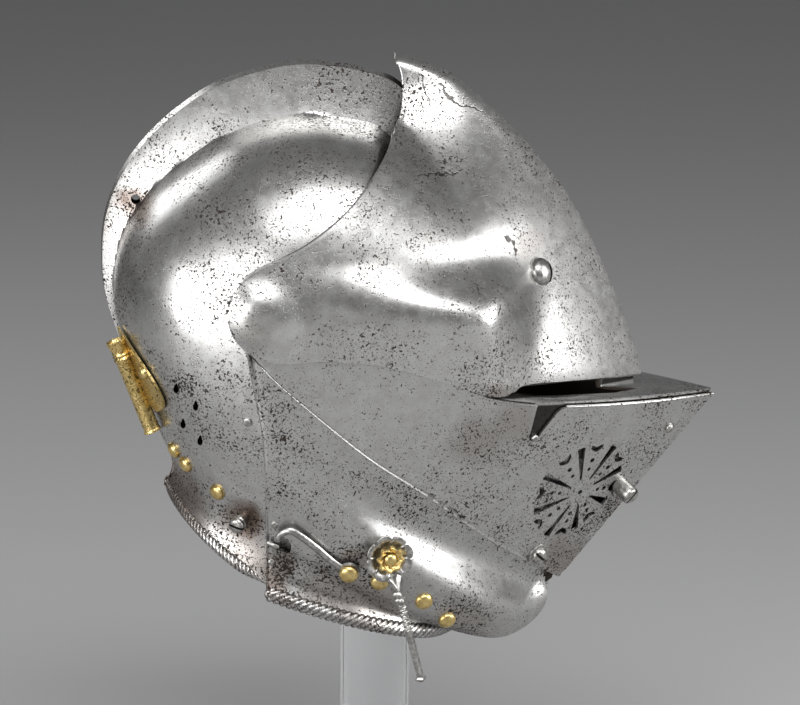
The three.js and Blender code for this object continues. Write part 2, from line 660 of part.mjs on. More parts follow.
for (const [, side] of SIDES) {
  const notchSpot = mirrored(ventailSeat(NOTCH.x, NOTCH.z), side);
  ventail = ventail.subtract(onSeatCutter(notchOutline(), notchSpot, 9));
  for (const [x, z] of TEETH) {
    ventail = ventail.subtract(sideCutter(TOOTH.map(([a, b]) => [x + a, z + b]), side, 40, 60));
  }
  const spot = mirrored(ventailSeat(ROSETTE.x, ROSETTE.z), side);
  for (const outline of rosetteOutlines()) ventail = ventail.subtract(onSeatCutter(outline, spot, 9));
}

helmet.add(
  named("skull", geometryOf(skull), steel),
  named("bevor", geometryOf(bevor), steel),
  named("visor", geometryOf(visor), steel),
  named("ventail", geometryOf(ventail), steel),
  named("brow_reinforce", geometryOf(browBody), steel),
);

// Pivot bolts: a shank from the skull through the plates, and a flat head under the reinforce's boss
for (const [label, side] of SIDES) {
  const spot = skullSeat(0, 0);
  const base = spot.point.y + CLEARANCE;
  const headFrom = HALF.ventail + CLEARANCE - base;
  const body = turned([
    [0, 0], [PIVOT.shank, 0], [PIVOT.shank, headFrom], [PIVOT.head, headFrom],
    [PIVOT.head, headFrom + PIVOT.headHeight * 0.6], [PIVOT.head * 0.7, headFrom + PIVOT.headHeight],
    [0, headFrom + PIVOT.headHeight],
  ], 8);
  const mesh = named(`pivot_bolt_${label}`, geometryOf(body), darkSteel);
  mesh.position.set(0, side * base, 0);
  mesh.quaternion.copy(facing(new THREE.Vector3(0, side, 0)));
  helmet.add(mesh);
}

// Fittings of the reinforce, the ventail and the visor, alike on both sides
const SCREW_LIFT = 0.9;
const NOTCH_PEG = { x: 149, z: -60.6, radius: 2.1, length: 4 };
for (const [label, side] of SIDES) {
  const brow = slotted(dome(7.6, 5, 12), 7.6, 5, rad(80));
  mount(`brow_screw_${label}`, brow, steel, mirrored(browSeat(147.5, 24.6), side), { lift: SCREW_LIFT });
  const screw = slotted(dome(5.4, 3.6, 10), 5.4, 3.6, rad(-35));
  mount(`ventail_screw_${label}`, screw, darkSteel, mirrored(ventailSeat(160.2, -135.3), side));
  mount(`ventail_rivet_${label}`, dome(3, 1.8, 8), darkSteel, mirrored(ventailSeat(226.7, -63), side));
  const { radius, length } = NOTCH_PEG;
  const peg = turned([[0, 0], [radius, 0], [radius, length - 0.7], [radius - 0.7, length], [0, length]], 8);
  mount(`notch_peg_${label}`, peg, steel, mirrored(skirtSeat(NOTCH_PEG.x, NOTCH_PEG.z), side));
}
const VENTAIL_PEG = { radius: 4.6, length: 8.5 };
const pegBody = turned([
  [0, 0], [VENTAIL_PEG.radius, 0], [VENTAIL_PEG.radius, VENTAIL_PEG.length - 0.8],
  [VENTAIL_PEG.radius - 0.8, VENTAIL_PEG.length], [0, VENTAIL_PEG.length],
], 12);
mount("ventail_peg", slotted(pegBody, VENTAIL_PEG.radius, VENTAIL_PEG.length, rad(60)), darkSteel,
  mirrored(ventailSeat(204, -98.3), RIGHT));

// Fittings of the skull and the bevor
const SKULL_PEG = { radius: 4.3, length: 10.4 };
const pegProfile = [
  [0, 0], [3.2, 0], [3.2, 4], [SKULL_PEG.radius, 4.6], [SKULL_PEG.radius, 6.2], [3.4, 6.9],
  [SKULL_PEG.radius, 7.6], [SKULL_PEG.radius, 9.4], [3.2, SKULL_PEG.length], [0, SKULL_PEG.length],
];
const HOLLOW_LIFT = 0.8;
const skullPeg = slotted(turned(pegProfile, 12), SKULL_PEG.radius, SKULL_PEG.length, rad(70));
mount("skull_peg", skullPeg, darkSteel, mirrored(skullSeat(-1.5, -116), RIGHT), { lift: HOLLOW_LIFT });
for (const [label, side] of SIDES) {
  mount(`skull_flush_rivet_${label}`, dome(2.4, 0.7, 8), steel, mirrored(skullSeat(-3.5, -58.3), side));
}
mount("bevor_flush_rivet_upper", dome(2.1, 0.8, 8), steel, mirrored(bevorSeat(14.3, -114.9), RIGHT));
mount("bevor_flush_rivet_lower", dome(1.8, 0.8, 8), steel, mirrored(bevorSeat(14.8, -137.5), RIGHT),
  { lift: HOLLOW_LIFT });
const LINING_HEIGHT = 2.8;
const LINING = {
  skull: { face: skullSeat, radius: 4.4, spots: [[-41.2, -86.3], [-34.5, -92.5], [-16.6, -103.6]] },
  bevor: { face: bevorSeat, radius: 4.8, spots: [[73.2, -144.3], [98.2, -156], [112, -168.5]] },
};
for (const [piece, { face, radius, spots }] of Object.entries(LINING)) {
  for (const [label, side] of SIDES) {
    spots.forEach(([x, z], i) => {
      const lift = piece === "skull" ? HOLLOW_LIFT : CLEARANCE;
      const name = `${piece}_lining_rivet_${label}_${i + 1}`;
      mount(name, dome(radius, LINING_HEIGHT, 8), brass, mirrored(face(x, z), side), { lift });
    });
  }
}

// The catch at the bevor's hole: a strip with a small cross pin
const catchBody = boxAt(2.6, 6, 1, 0, -3.5, 0.5)
  .add(turned([[0, 0], [1.5, 0], [1.5, 4.6], [0, 4.6]], 8));
mount("catch_pin", catchBody, darkSteel, mirrored(bevorSeat(15.2, -125.5), RIGHT), { lift: HOLLOW_LIFT });

// The hook turns on its rivet: an eye, and a flat S-shaped arm in the plane across the rivet
const HOOK = { lift: 2, eye: 5.2, bore: 2.1, thick: 2.4, width: 3.2 };
const HOOK_DROP = 0.0875;
const HOOK_TURN = [56.2, -137.2];
const hookRoute = [
  [4.4, 2.6], [8.8, 5.4], [13.8, 9.5], [19.9, 14.3], [27.2, 20], [32.6, 23.6], [36.4, 21.1], [39.8, 16.8],
];
const hookSpot = mirrored(bevorSeat(...HOOK_TURN), RIGHT);
function hookArm() {
  const route = new THREE.CatmullRomCurve3(
    hookRoute.map(([back, y]) => {
      const drop = HOOK_DROP * (back - hookRoute[0][0]);
      return new THREE.Vector3(-back, y, HOOK.thick / 2 - drop);
    }),
  );
  const [w, t] = [HOOK.width / 2, HOOK.thick / 2];
  const corners = [[-t, -w], [t, -w], [t, w], [-t, w]];
  const section = new THREE.Shape(corners.map(([a, b]) => new THREE.Vector2(a, b)));
  return solid(new THREE.ExtrudeGeometry(section, { extrudePath: route, steps: 14, bevelEnabled: false }));
}
const eye = turned([
  [HOOK.bore, 0], [HOOK.eye, 0], [HOOK.eye, HOOK.thick], [HOOK.bore, HOOK.thick], [HOOK.bore, 0],
], 14);
const eyeRoom = solid(new THREE.CylinderGeometry(4, 4, 20, 12).rotateX(PI / 2));
mount("s_hook", eye.add(hookArm().subtract(eyeRoom)), steel, hookSpot, { lift: HOOK.lift });
const headFrom = HOOK.lift + HOOK.thick + CLEARANCE;
mount("hook_rivet", turned([
  [0, CLEARANCE], [HOOK.bore - CLEARANCE, CLEARANCE], [HOOK.bore - CLEARANCE, headFrom], [5.3, headFrom],
  [4.9, headFrom + 1.4], [3.2, headFrom + 2.6], [0, headFrom + 3],
], 12), brass, hookSpot, { lift: 0 });
const fourth = dome(LINING.bevor.radius, LINING_HEIGHT, 8);
mount("bevor_lining_rivet_left_4", fourth, brass, mirrored(bevorSeat(...HOOK_TURN), 1));

// The hanging prop: a dished washer with its rod, the brass rosette and the rivet it turns on
const propSpot = mirrored(bevorSeat(75.6, -128.2), RIGHT);
const PROP = { lift: 2, washer: 12.4, bore: 2.1, rod: 1.9, length: 71 };
const washer = turned([
  [PROP.bore, 0], [5, 0], [PROP.washer, 3.2], [PROP.washer, 4.8], [9.4, 4.6], [5, 1.9], [PROP.bore, 1.9],
  [PROP.bore, 0],
], 16);
const hangRoll = rad(19);
const along = [sin(hangRoll), -cos(hangRoll)];
function propRod() {
  const spots = [[10.5, 3.4], [18, 4.6], [26, 6], [44, 8], [PROP.length, 10]];
  const places = spots.map(([r, z]) => new THREE.Vector3(along[0] * r, along[1] * r, z));
  const route = new THREE.CatmullRomCurve3(places);
  const r = PROP.rod;
  const section = new THREE.Shape(circle(0, 0, r, 6).map(([a, b]) => new THREE.Vector2(a, b)));
  return solid(new THREE.ExtrudeGeometry(section, { extrudePath: route, steps: 8, bevelEnabled: false }));
}
const collar = solid(new THREE.SphereGeometry(3.1, 8, 6).translate(along[0] * 24, along[1] * 24, 5.6));
mount("prop", washer.add(propRod()).add(collar), darkSteel, propSpot, { lift: PROP.lift });
const rosetteLift = PROP.lift + 1.9 + CLEARANCE;
mount("prop_rosette", turned([
  [PROP.bore, 0], [4.6, 0], [7.2, 2.4], [6.6, 3.6], [4.2, 1.9], [PROP.bore, 1.9], [PROP.bore, 0],
], 10), brass, propSpot, { lift: rosetteLift });
const propHead = rosetteLift + 1.9 + CLEARANCE;
mount("prop_rivet", turned([
  [0, CLEARANCE], [PROP.bore - CLEARANCE, CLEARANCE], [PROP.bore - CLEARANCE, propHead], [3.7, propHead],
  [3.4, propHead + 1.1], [2.1, propHead + 2], [0, propHead + 2.3],
], 12), brass, propSpot, { lift: 0 });

// The plume holder: a curved plate on the skull's right side, with the tube soldered on it
const PLATE = {
  from: 0.665, to: 0.748, near: 30, lift: 1, wall: 1, steps: 4, reach: [12, 21, 27, 30, 31, 30, 26, 18],
};
function skullAtWidth(u, width) {
  let [near, far] = [0.001, 1];
  for (let i = 0; i < 40; i += 1) {
    const mid = (near + far) / 2;
    if (skullOuter(u, mid).y < width) near = mid;
    else far = mid;
  }
  return near;
}
function plumePlate() {
  const rows = PLATE.reach.length - 1;
  const loops = Array.from({ length: rows + 1 }, (_, i) => {
    const u = PLATE.from + ((PLATE.to - PLATE.from) * i) / rows;
    const outs = [];
    const ins = [];
    for (let k = 0; k <= PLATE.steps; k += 1) {
      const v = skullAtWidth(u, PLATE.near + (PLATE.reach[i] * k) / PLATE.steps);
      const [p, n] = [skullOuter(u, v), normalAt(skullOuter, u, v)];
      ins.push(p.clone().addScaledVector(n, PLATE.lift));
      outs.push(p.clone().addScaledVector(n, PLATE.lift + PLATE.wall));
    }
    return [...outs, ...ins.reverse()].map((p) => new THREE.Vector3(p.x, -p.y, p.z));
  });
  return loftSolid(loops);
}
const TUBE = { outer: 4.4, inner: 3.5, y: -40.4, top: [-76.8, -29], foot: [-53.5, -77.5] };
function plumeTube() {
  const [top, foot] = [TUBE.top, TUBE.foot].map(([x, z]) => new THREE.Vector3(x, TUBE.y, z));
  const length = top.distanceTo(foot);
  const axis = top.clone().sub(foot).normalize();
  const turn = new THREE.Quaternion().setFromUnitVectors(new THREE.Vector3(0, 0, 1), axis);
  const place = (profile) => {
    const line = profile.map(([r, z]) => new THREE.Vector2(r, z));
    const geometry = new THREE.LatheGeometry(line, 12).rotateX(PI / 2);
    return solid(geometry.applyQuaternion(turn).translate(...foot.toArray()));
  };
  const body = place([
    [0, 0], [TUBE.outer + 0.5, 0], [TUBE.outer, 1.2], [TUBE.outer, length - 8],
    [TUBE.outer + 0.7, length - 7],
    [TUBE.outer, length - 6], [6.2, length], [0, length],
  ]);
  const bore = place([
    [0, -1], [TUBE.inner, -1], [TUBE.inner, length - 6], [5.3, length], [5.3, length + 1], [0, length + 1],
  ]);
  return { body, bore };
}
const { body: tubeBody, bore: tubeBore } = plumeTube();
helmet.add(named("plume_holder", geometryOf(plumePlate().add(tubeBody).subtract(tubeBore)), brass));
const plateU = 0.69;
const plateV = skullAtWidth(plateU, 54);
const plateSpot = { point: skullOuter(plateU, plateV), normal: normalAt(skullOuter, plateU, plateV) };
const plumeLift = PLATE.lift + PLATE.wall + CLEARANCE;
mount("plume_rivet", dome(3.4, 2.4, 10), brass, mirrored(plateSpot, RIGHT), { lift: plumeLift });

// The clear stand: a round base, the post, and the pad that the skull's crown rests on
const STAND = {
  baseRadius: 95, baseHeight: 12, postRadius: 19, padRadius: 22, padHeight: 14, padTop: 382.2,
};
const baseTop = STAND.baseHeight;
const padFrom = STAND.padTop - STAND.padHeight;
const stand = new THREE.Group();
stand.add(
  named("stand_base", geometryOf(turned([
    [0, 0], [STAND.baseRadius, 0], [STAND.baseRadius, baseTop - 2], [STAND.baseRadius - 2, baseTop],
    [0, baseTop],
  ], 40)), clear),
  named("stand_post", geometryOf(turned([
    [0, baseTop + CLEARANCE], [STAND.postRadius, baseTop + CLEARANCE],
    [STAND.postRadius, padFrom - CLEARANCE],
    [0, padFrom - CLEARANCE],
  ], 32)), clear),
  named("stand_pad", geometryOf(turned([
    [0, padFrom], [STAND.padRadius, padFrom], [STAND.padRadius, STAND.padTop - 5],
    [STAND.padRadius - 6, STAND.padTop - 1],
    [0, STAND.padTop],
  ], 24)), clear),
);

const part = new THREE.Group();
part.add(helmet, stand);
export default part;
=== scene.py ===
"""Looks for the close helmet on its clear post stand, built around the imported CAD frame.

Lengths are millimetres in the helmet's own axes unless a name says otherwise: x forward, y to the
wearer's left, z up, from the middle of the pivot axis. The plates repeat the CAD's own curves on fine grids.
"""

import math

import bmesh
import bpy
import numpy as np
from bpy.props import FloatProperty, IntProperty, PointerProperty
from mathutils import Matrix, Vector


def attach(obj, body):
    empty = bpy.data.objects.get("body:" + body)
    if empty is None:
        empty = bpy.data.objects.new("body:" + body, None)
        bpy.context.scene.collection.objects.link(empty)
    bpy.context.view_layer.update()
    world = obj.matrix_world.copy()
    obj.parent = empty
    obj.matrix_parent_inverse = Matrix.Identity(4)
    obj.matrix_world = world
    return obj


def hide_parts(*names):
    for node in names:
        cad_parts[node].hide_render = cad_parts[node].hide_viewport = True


bl_info = {
    "name": "Close helmet",
    "version": (1, 0, 0),
    "blender": (4, 5, 0),
    "location": "3D View > Sidebar > Helmet",
    "description": "Builds the looks of a close helmet on a clear post stand",
    "category": "Object",
}

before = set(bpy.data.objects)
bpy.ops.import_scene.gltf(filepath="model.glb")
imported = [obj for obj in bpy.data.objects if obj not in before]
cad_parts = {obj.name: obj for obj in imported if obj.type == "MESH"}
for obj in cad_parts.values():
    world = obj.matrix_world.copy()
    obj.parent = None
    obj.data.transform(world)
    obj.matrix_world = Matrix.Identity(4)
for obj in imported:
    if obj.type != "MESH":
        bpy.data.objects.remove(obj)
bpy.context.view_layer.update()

# Driving dimensions, the same as the CAD's
PIVOT = (-62.0, 0.0, 305.0)
NOSE_DOWN = math.radians(4)
SKULL_WALL = 1.8
PLATE_WALL = 1.5
PROW_DISTANCE = 230.5
PROW_ANGLE = math.radians(-34.7)
KEEL_POWER = 2.5
SHELF_Z = -41.0
RIGHT = -1
LEFT = 1
RIM_RADIUS = 0.6
RIM_STEPS = (0.0, 0.07, 0.22, 0.6, 1.2, 2.0, 2.9, 3.9, 5.0)


# Curves


def keyed(rows):
    """A smooth curve through keyed values: rows of (at, value) in rising order of at."""
    at, value = np.array(rows, float).T
    n = len(at)
    before = np.maximum(np.arange(n) - 1, 0)
    after = np.minimum(np.arange(n) + 1, n - 1)
    slope = (value[after] - value[before]) / (at[after] - at[before])

    def curve(x):
        x = np.asarray(x, float)
        i = np.clip(np.searchsorted(at, x) - 1, 0, n - 2)
        span = at[i + 1] - at[i]
        t = np.clip((x - at[i]) / span, 0, 1)
        u = 1 - t
        left = value[i] * u * u * (1 + 2 * t) + slope[i] * span * u * u * t
        return left + value[i + 1] * t * t * (3 - 2 * t) - slope[i + 1] * span * t * t * u

    return curve


def columns(names, rows):
    """One smooth curve for each column of a table."""
    table = np.array(rows, float)
    at = np.linspace(0, 1, len(table))
    return {name: keyed(np.stack([at, table[:, i]], 1)) for i, name in enumerate(names.split())}


def smooth_max(a, b, k):
    h = np.maximum(k - np.abs(a - b), 0) / k
    return np.maximum(a, b) + h * h * k / 4


def smooth_min(a, b, k):
    return -smooth_max(-a, -b, k)


def smooth_step(low, high, x):
    t = np.clip((x - low) / (high - low), 0, 1)
    return t * t * (3 - 2 * t)


def edge(points):
    """A curve through side-view points, by share of its length."""
    p = np.array(points, float)
    n = len(p)
    t = np.linspace(0, n - 1, 80 * (n - 1) + 1)
    i = np.minimum(t.astype(int), n - 2)
    w = (t - i)[:, None]
    a, b = p[i], p[i + 1]
    va = (b - p[np.maximum(i - 1, 0)]) / 2
    vb = (p[np.minimum(i + 2, n - 1)] - a) / 2
    path = (2 * a - 2 * b + va + vb) * w**3 + (3 * b - 3 * a - 2 * va - vb) * w**2 + va * w + a
    far = np.concatenate([[0], np.cumsum(np.hypot(*np.diff(path, axis=0).T))])
    far = far / far[-1]

    def place(share):
        share = np.clip(share, 0, 1)
        return np.interp(share, far, path[:, 0]), np.interp(share, far, path[:, 1])

    return place


# The forms of the plates, as in the CAD

SKULL_RIBS = columns(
    "ridge_x ridge_z comb edge_x edge_z half round sag",
    [
        (76, 108.5, 27, 38, 14, 85.4, 2.5, 0),
        (56, 120.5, 28, 37, 5, 88.8, 2.5, 0),
        (12, 124, 29, 32, -8, 93.4, 2.5, 0),
        (-28, 111, 28, 28, -19, 95.4, 2.5, 0),
        (-51, 95, 26, 25, -27, 95.6, 2.5, 0),
        (-68.5, 76.5, 23, 24, -35, 95.4, 2.5, 0),
        (-80.5, 57, 19, 23, -44, 95.3, 2.5, 0),
        (-87, 38, 15, 23, -53, 94.2, 2.5, 0),
        (-88.7, 18, 11, 23, -64, 92.4, 2.5, 0),
        (-85.5, -9.5, 7, 23, -79, 89, 2.45, 0),
        (-75, -37, 4.5, 24, -96, 83.2, 2.4, 0),
        (-57, -75, 3, 25, -114, 75, 2.3, 0),
        (-46, -94, 2, 26, -129, 69, 2.2, 1),
        (-42, -103, 1.5, 27, -143, 68.3, 2.15, 3),
        (-43.5, -112, 1, 28, -155, 70.6, 2.1, 4),
    ],
)
COMB_TOP = 2.0
COMB_FOOT = 8.5
COMB_FILLET = 10.0
COMB_SHARE = 0.34

BEVOR_RIBS = columns(
    "mid_x mid_z edge_x edge_z half power root sag",
    [
        (119, -180, 13, -153, 76, 2.2, 2.1, 2),
        (123, -178, 12, -141, 72, 2.2, 2.0, 2),
        (134, -185, 11, -129, 73, 2.2, 1.8, 2),
        (146, -188, 10, -117, 79, 2.25, 1.5, 1),
        (159, -181, 8.8, -101, 85.4, 2.3, 1.3, 0),
        (168, -168, 7, -82, 93, 2.4, 1.15, 0),
        (169.5, -150, 4.7, -65, 96.5, 2.45, 1.05, 0),
        (181, -132, 0.6, -48, 98.5, 2.5, 1, 0),
        (194, -113, -4, -31, 99.6, 2.5, 1, 0),
        (202.5, -97, -8, -16, 100, 2.5, 1, 0),
        (208, -85, -14, -3, 100, 2.5, 1, 0),
    ],
)
BROW_RADIUS = keyed(
    [
        (-25, 231), (-9.8, 213), (-1.9, 199), (8.1, 184.5), (22.5, 170.9), (28.2, 165.9),
        (39, 159), (48.2, 155.4), (52.7, 154.1), (60.4, 148.9), (64.5, 145.7), (76, 138),
    ]
)
PROW_LOW = (174.2, -152.7)
PROW_TIP = (250.3, -43.8)
VENTAIL_LOWER = edge(
    [
        PROW_LOW, (150, -136.4), (127, -120), (95, -95.3), (64, -75), (42, -58.5),
        (20, -41.5), (7, -31), (-9, -15), (-17, -5),
    ]
)
VENTAIL_UPPER = edge(
    [
        PROW_TIP, (209, -44.2), (165, -43.6), (149, -42.4), (127, -38.5), (100, -28),
        (77, -17.5), (47, -5), (20, 10), (0, 15), (-12, 10), (-17, -1),
    ]
)
BROW_LOWER = edge(
    [
        (209, -36.5), (185, -34.5), (166, -33), (146, -32.5), (138, -34), (131, -37.4), (115, -34), (88, -26),
        (64, -20.7), (47, -19.9), (32, -19.9), (16, -22), (2.4, -21), (-9, -14.3), (-14.5, -7), (-17.6, 2),
    ]
)
BROW_UPPER = edge(
    [
        (62.5, 131.8), (67, 119), (67.5, 103.5), (64.8, 94.6), (60, 83), (41.2, 58.5),
        (18, 39.5), (-5, 27.5), (-13.5, 18.5), (-17.8, 6.5),
    ]
)
VISOR_UPPER = edge([(84, 124), (77, 108), (66, 84), (50, 56), (26, 28), (6, 19), (-9, 12), (-15, 4)])
VISOR_LOWER = edge(
    [(213.5, -92), (184, -80), (144, -64), (100, -45), (60, -32), (24, -21), (4, -17), (-12, -9), (-15, -2)]
)
EDGE_RIM = edge(
    [
        (248.9, SHELF_Z), (200, SHELF_Z), (150, SHELF_Z), (125, -35.5), (100, -26), (60, -13),
        (24, -4), (4, -2), (-12, 0), (-15, 0.3),
    ]
)
WALL_FOOT = edge(
    [
        (205, SHELF_Z), (180, -39), (144, -38), (122, -31), (100, -22.5), (60, -10.5),
        (24, -3), (4, -1), (-12, 1), (-15, 1.2),
    ]
)
BROW_FROM = -9.9
BROW_TO = 64.6
SKIRT_INSET = 2.6
WALL_INSET = 4.9
SKIRT_SHARE = 0.3
SHELF_SHARE = 0.45


def skull_width(rib, along):
    bowl_end = rib["length"] - rib["comb"]
    share = np.clip(along / bowl_end, 0, 1)
    bowl = rib["half"] * (1 - share ** rib["round"]) ** (1 / rib["round"])
    up = np.clip((rib["length"] - along) / np.maximum(rib["comb"], 6), 0, 2)
    size = np.minimum(rib["comb"] / 20, 1)
    comb = COMB_TOP + (COMB_FOOT - COMB_TOP) * up**1.5 * size
    return smooth_max(bowl, np.minimum(comb, rib["half"]), COMB_FILLET * size + 1)


def skull_face(u, v):
    """u runs from the neck rim to the front of the crown, v from the comb's ridge to the front edge."""
    rib = {name: curve(1 - u) for name, curve in SKULL_RIBS.items()}
    dx = rib["ridge_x"] - rib["edge_x"]
    dz = rib["ridge_z"] - rib["edge_z"]
    rib["length"] = np.hypot(dx, dz)
    length = rib["length"]
    turn = 0.93 * (length - rib["comb"])
    top = length + (turn - length) * np.clip(v / COMB_SHARE, 0, 1) ** 0.85
    low = turn * np.cos(np.clip((v - COMB_SHARE) / (1 - COMB_SHARE), 0, 1) * math.pi / 2) ** 0.8
    along = np.where(v < COMB_SHARE, top, low)
    sag = 4 * rib["sag"] * (along / length) * (1 - along / length)
    x = rib["edge_x"] + dx / length * along - np.abs(dz / length) * sag * 0.3
    z = rib["edge_z"] + dz / length * along - sag
    y = skull_width(rib, along) * (1 - (1 - np.clip(v / 0.012, 0, 1)) ** 2) ** 0.5
    return np.stack([x, y, z], -1)


def keeled(r, radius, half, power=KEEL_POWER):
    return half * np.maximum(1 - (r / radius) ** power, 0)


def prow_width(x, z, half, inset):
    angle = np.clip(np.arctan2(z, x), -1.3, 0.6)
    return keeled(np.hypot(x, z), PROW_DISTANCE / np.cos(angle - PROW_ANGLE) - inset, half)


def brow_width(x, z, half, inset):
    turned = np.clip(np.arctan2(z, x), -0.4, 1.4)
    r = np.hypot(x, z)
    radius = BROW_RADIUS(np.degrees(turned)) - inset
    front = keeled(r, radius, half)
    bowl_end = 114 - inset
    bowl = half * (1 - np.clip(r / bowl_end, 0, 1) ** 2.3) ** (1 / 2.3)
    up = np.maximum((radius - r) / (radius - bowl_end), 0)
    comb = 4.4 - inset + 7.6 * up**1.5
    rear = np.minimum(smooth_max(bowl, comb, 16), half)
    share = smooth_step(math.radians(20), math.radians(66), turned)
    rim = smooth_step(0, 6, radius - r)
    return rim * (front + (rear - front) * share) + (1 - rim) * front


def side_patch(lower, upper, middle, u, v):
    """A place in the side view between two edge curves and the median line."""
    low, high, low0, high0 = lower(v), upper(v), lower(0), upper(0)
    bow = (1 - v) ** 1.5
    out = []
    for k in (0, 1):
        across = low[k] * (1 - u) + high[k] * u
        out.append(across + (middle[k] - low0[k] * (1 - u) - high0[k] * u) * bow)
    return out


def ventail_face(u, v):
    middle = [PROW_LOW[k] + (PROW_TIP[k] - PROW_LOW[k]) * u for k in (0, 1)]
    x, z = side_patch(VENTAIL_LOWER, VENTAIL_UPPER, middle, u, v)
    return np.stack([x, np.where(v == 0, 0, prow_width(x, z, 104, 0)), z], -1)


def brow_face(u, v):
    angle = BROW_FROM + (BROW_TO - BROW_FROM) * u
    radius = BROW_RADIUS(angle)
    middle = (radius * np.cos(np.radians(angle)), radius * np.sin(np.radians(angle)))
    x, z = side_patch(BROW_LOWER, BROW_UPPER, middle, u, v)
    own = brow_width(x, z, 106.2, 0)
    r = np.hypot(x, z)
    flare = (1 - smooth_step(116, 150, x)) * (1 - smooth_step(8, 34, z))
    over = prow_width(x, np.minimum(z, 0), 106.2, 0) + smooth_step(40, 110, r) * 1.1
    boss = 5.5 * (1 - smooth_step(6, 26, r))
    y = own + flare * (smooth_max(own, over, 1) - own) + boss
    return np.stack([x, np.where(v == 0, 0, y), z], -1)


def visor_skirt(t, v):
    low, rim = VISOR_LOWER(v), EDGE_RIM(v)
    x = low[0] + (rim[0] - low[0]) * t
    z = low[1] + (rim[1] - low[1]) * t
    x = np.where(v == 0, (PROW_DISTANCE - SKIRT_INSET - z * math.sin(PROW_ANGLE)) / math.cos(PROW_ANGLE), x)
    y = np.where(v == 0, 0, prow_width(x, z, 102, SKIRT_INSET))
    return np.stack([x, y, z], -1)


def visor_wall(t, v):
    foot, high, foot0, high0 = WALL_FOOT(v), VISOR_UPPER(v), WALL_FOOT(0), VISOR_UPPER(0)
    a0 = math.atan2(foot0[1], foot0[0])
    a1 = math.atan2(high0[1], high0[0])
    angle = a0 + (a1 - a0) * t
    radius = BROW_RADIUS(np.degrees(angle)) - WALL_INSET
    bow = (1 - v) ** 1.5
    x = foot[0] + (high[0] - foot[0]) * t + (radius * np.cos(angle) - foot0[0] * (1 - t) - high0[0] * t) * bow
    z = foot[1] + (high[1] - foot[1]) * t + (radius * np.sin(angle) - foot0[1] * (1 - t) - high0[1] * t) * bow
    return np.stack([x, np.where(v == 0, 0, brow_width(x, z, 102, WALL_INSET)), z], -1)


def visor_face(u, v):
    skirt = visor_skirt(np.clip(u / SKIRT_SHARE, 0, 1), v)
    wall = visor_wall(np.clip((u - SHELF_SHARE) / (1 - SHELF_SHARE), 0, 1), v)
    t = np.clip((u - SKIRT_SHARE) / (SHELF_SHARE - SKIRT_SHARE), 0, 1)[..., None]
    return skirt + (wall - skirt) * t


def bevor_face(u, v):
    rib = {name: curve(u) for name, curve in BEVOR_RIBS.items()}
    q = 1 - v
    sag = 4 * rib["sag"] * q * v
    x = rib["edge_x"] + (rib["mid_x"] - rib["edge_x"]) * q
    z = rib["edge_z"] + (rib["mid_z"] - rib["edge_z"]) * q - sag * 0.6
    width = rib["half"] * (1 - q ** rib["power"]) ** (1 / rib["root"])
    under = keeled(np.hypot(x, z), PROW_DISTANCE - 6, 100)
    width = width + smooth_step(0.42, 0.6, u) * (smooth_min(width, under, 3) - width)
    return np.stack([x, np.where(v == 0, 0, width), z], -1)


# Meshes


def to_world(points):
    """Helmet axes in millimetres to the frame in metres."""
    x, y, z = np.moveaxis(np.asarray(points, float), -1, 0)
    c, s = math.cos(NOSE_DOWN), math.sin(NOSE_DOWN)
    return np.stack([x * c + z * s + PIVOT[0], y + PIVOT[1], z * c - x * s + PIVOT[2]], -1) / 1000


def make_mesh(name, points, faces, material, sharp=40.0):
    """A mesh object from points in helmet axes, smooth but for its sharp edges."""
    mesh = bpy.data.meshes.new(name)
    mesh.from_pydata(to_world(points).tolist(), [], [tuple(int(i) for i in face) for face in faces])
    turned = bmesh.new()
    turned.from_mesh(mesh)
    bmesh.ops.recalc_face_normals(turned, faces=turned.faces)
    turned.to_mesh(mesh)
    turned.free()
    mesh.materials.append(material)
    mesh.polygons.foreach_set("use_smooth", [True] * len(mesh.polygons))
    mesh.set_sharp_from_angle(angle=math.radians(sharp))
    obj = bpy.data.objects.new(name, mesh)
    bpy.context.scene.collection.objects.link(obj)
    return obj


def grid_faces(rows, cols, start=0, flip=False, closed=False):
    """Quads of a grid whose points are numbered row by row; closed joins the last column to the first."""
    i, k = np.meshgrid(np.arange(rows - 1), np.arange(cols if closed else cols - 1), indexing="ij")
    near, far = i * cols, (i + 1) * cols
    after = (k + 1) % cols
    quads = np.stack([near + k, near + after, far + after, far + k], -1).reshape(-1, 4) + start
    return quads[:, ::-1] if flip else quads


def normals_of(grid):
    """Unit normals of a grid of points."""
    across = np.cross(np.gradient(grid, axis=0), np.gradient(grid, axis=1))
    return across / np.maximum(np.linalg.norm(across, axis=-1, keepdims=True), 1e-9)


def shares(length, count, rim_low, rim_high, warp=1.0):
    """Grid lines over a length in millimetres, close together where a rounded rim is."""
    rim = np.array(RIM_STEPS) / length
    inner = np.linspace(0, 1, count + 1) ** warp
    low = rim[-1] * 1.5 if rim_low else -1
    high = 1 - rim[-1] * 1.5 if rim_high else 2
    inner = inner[(inner > low) & (inner < high)]
    parts = [inner]
    if rim_low:
        parts.insert(0, rim)
    if rim_high:
        parts.append(1 - rim[::-1])
    return np.concatenate(parts)


def rim_depth(far):
    """How deep a rounded rim lies under the face, at a distance in from the edge."""
    inward = np.clip(RIM_RADIUS - far, 0, RIM_RADIUS)
    return RIM_RADIUS - np.sqrt(RIM_RADIUS**2 - inward**2)


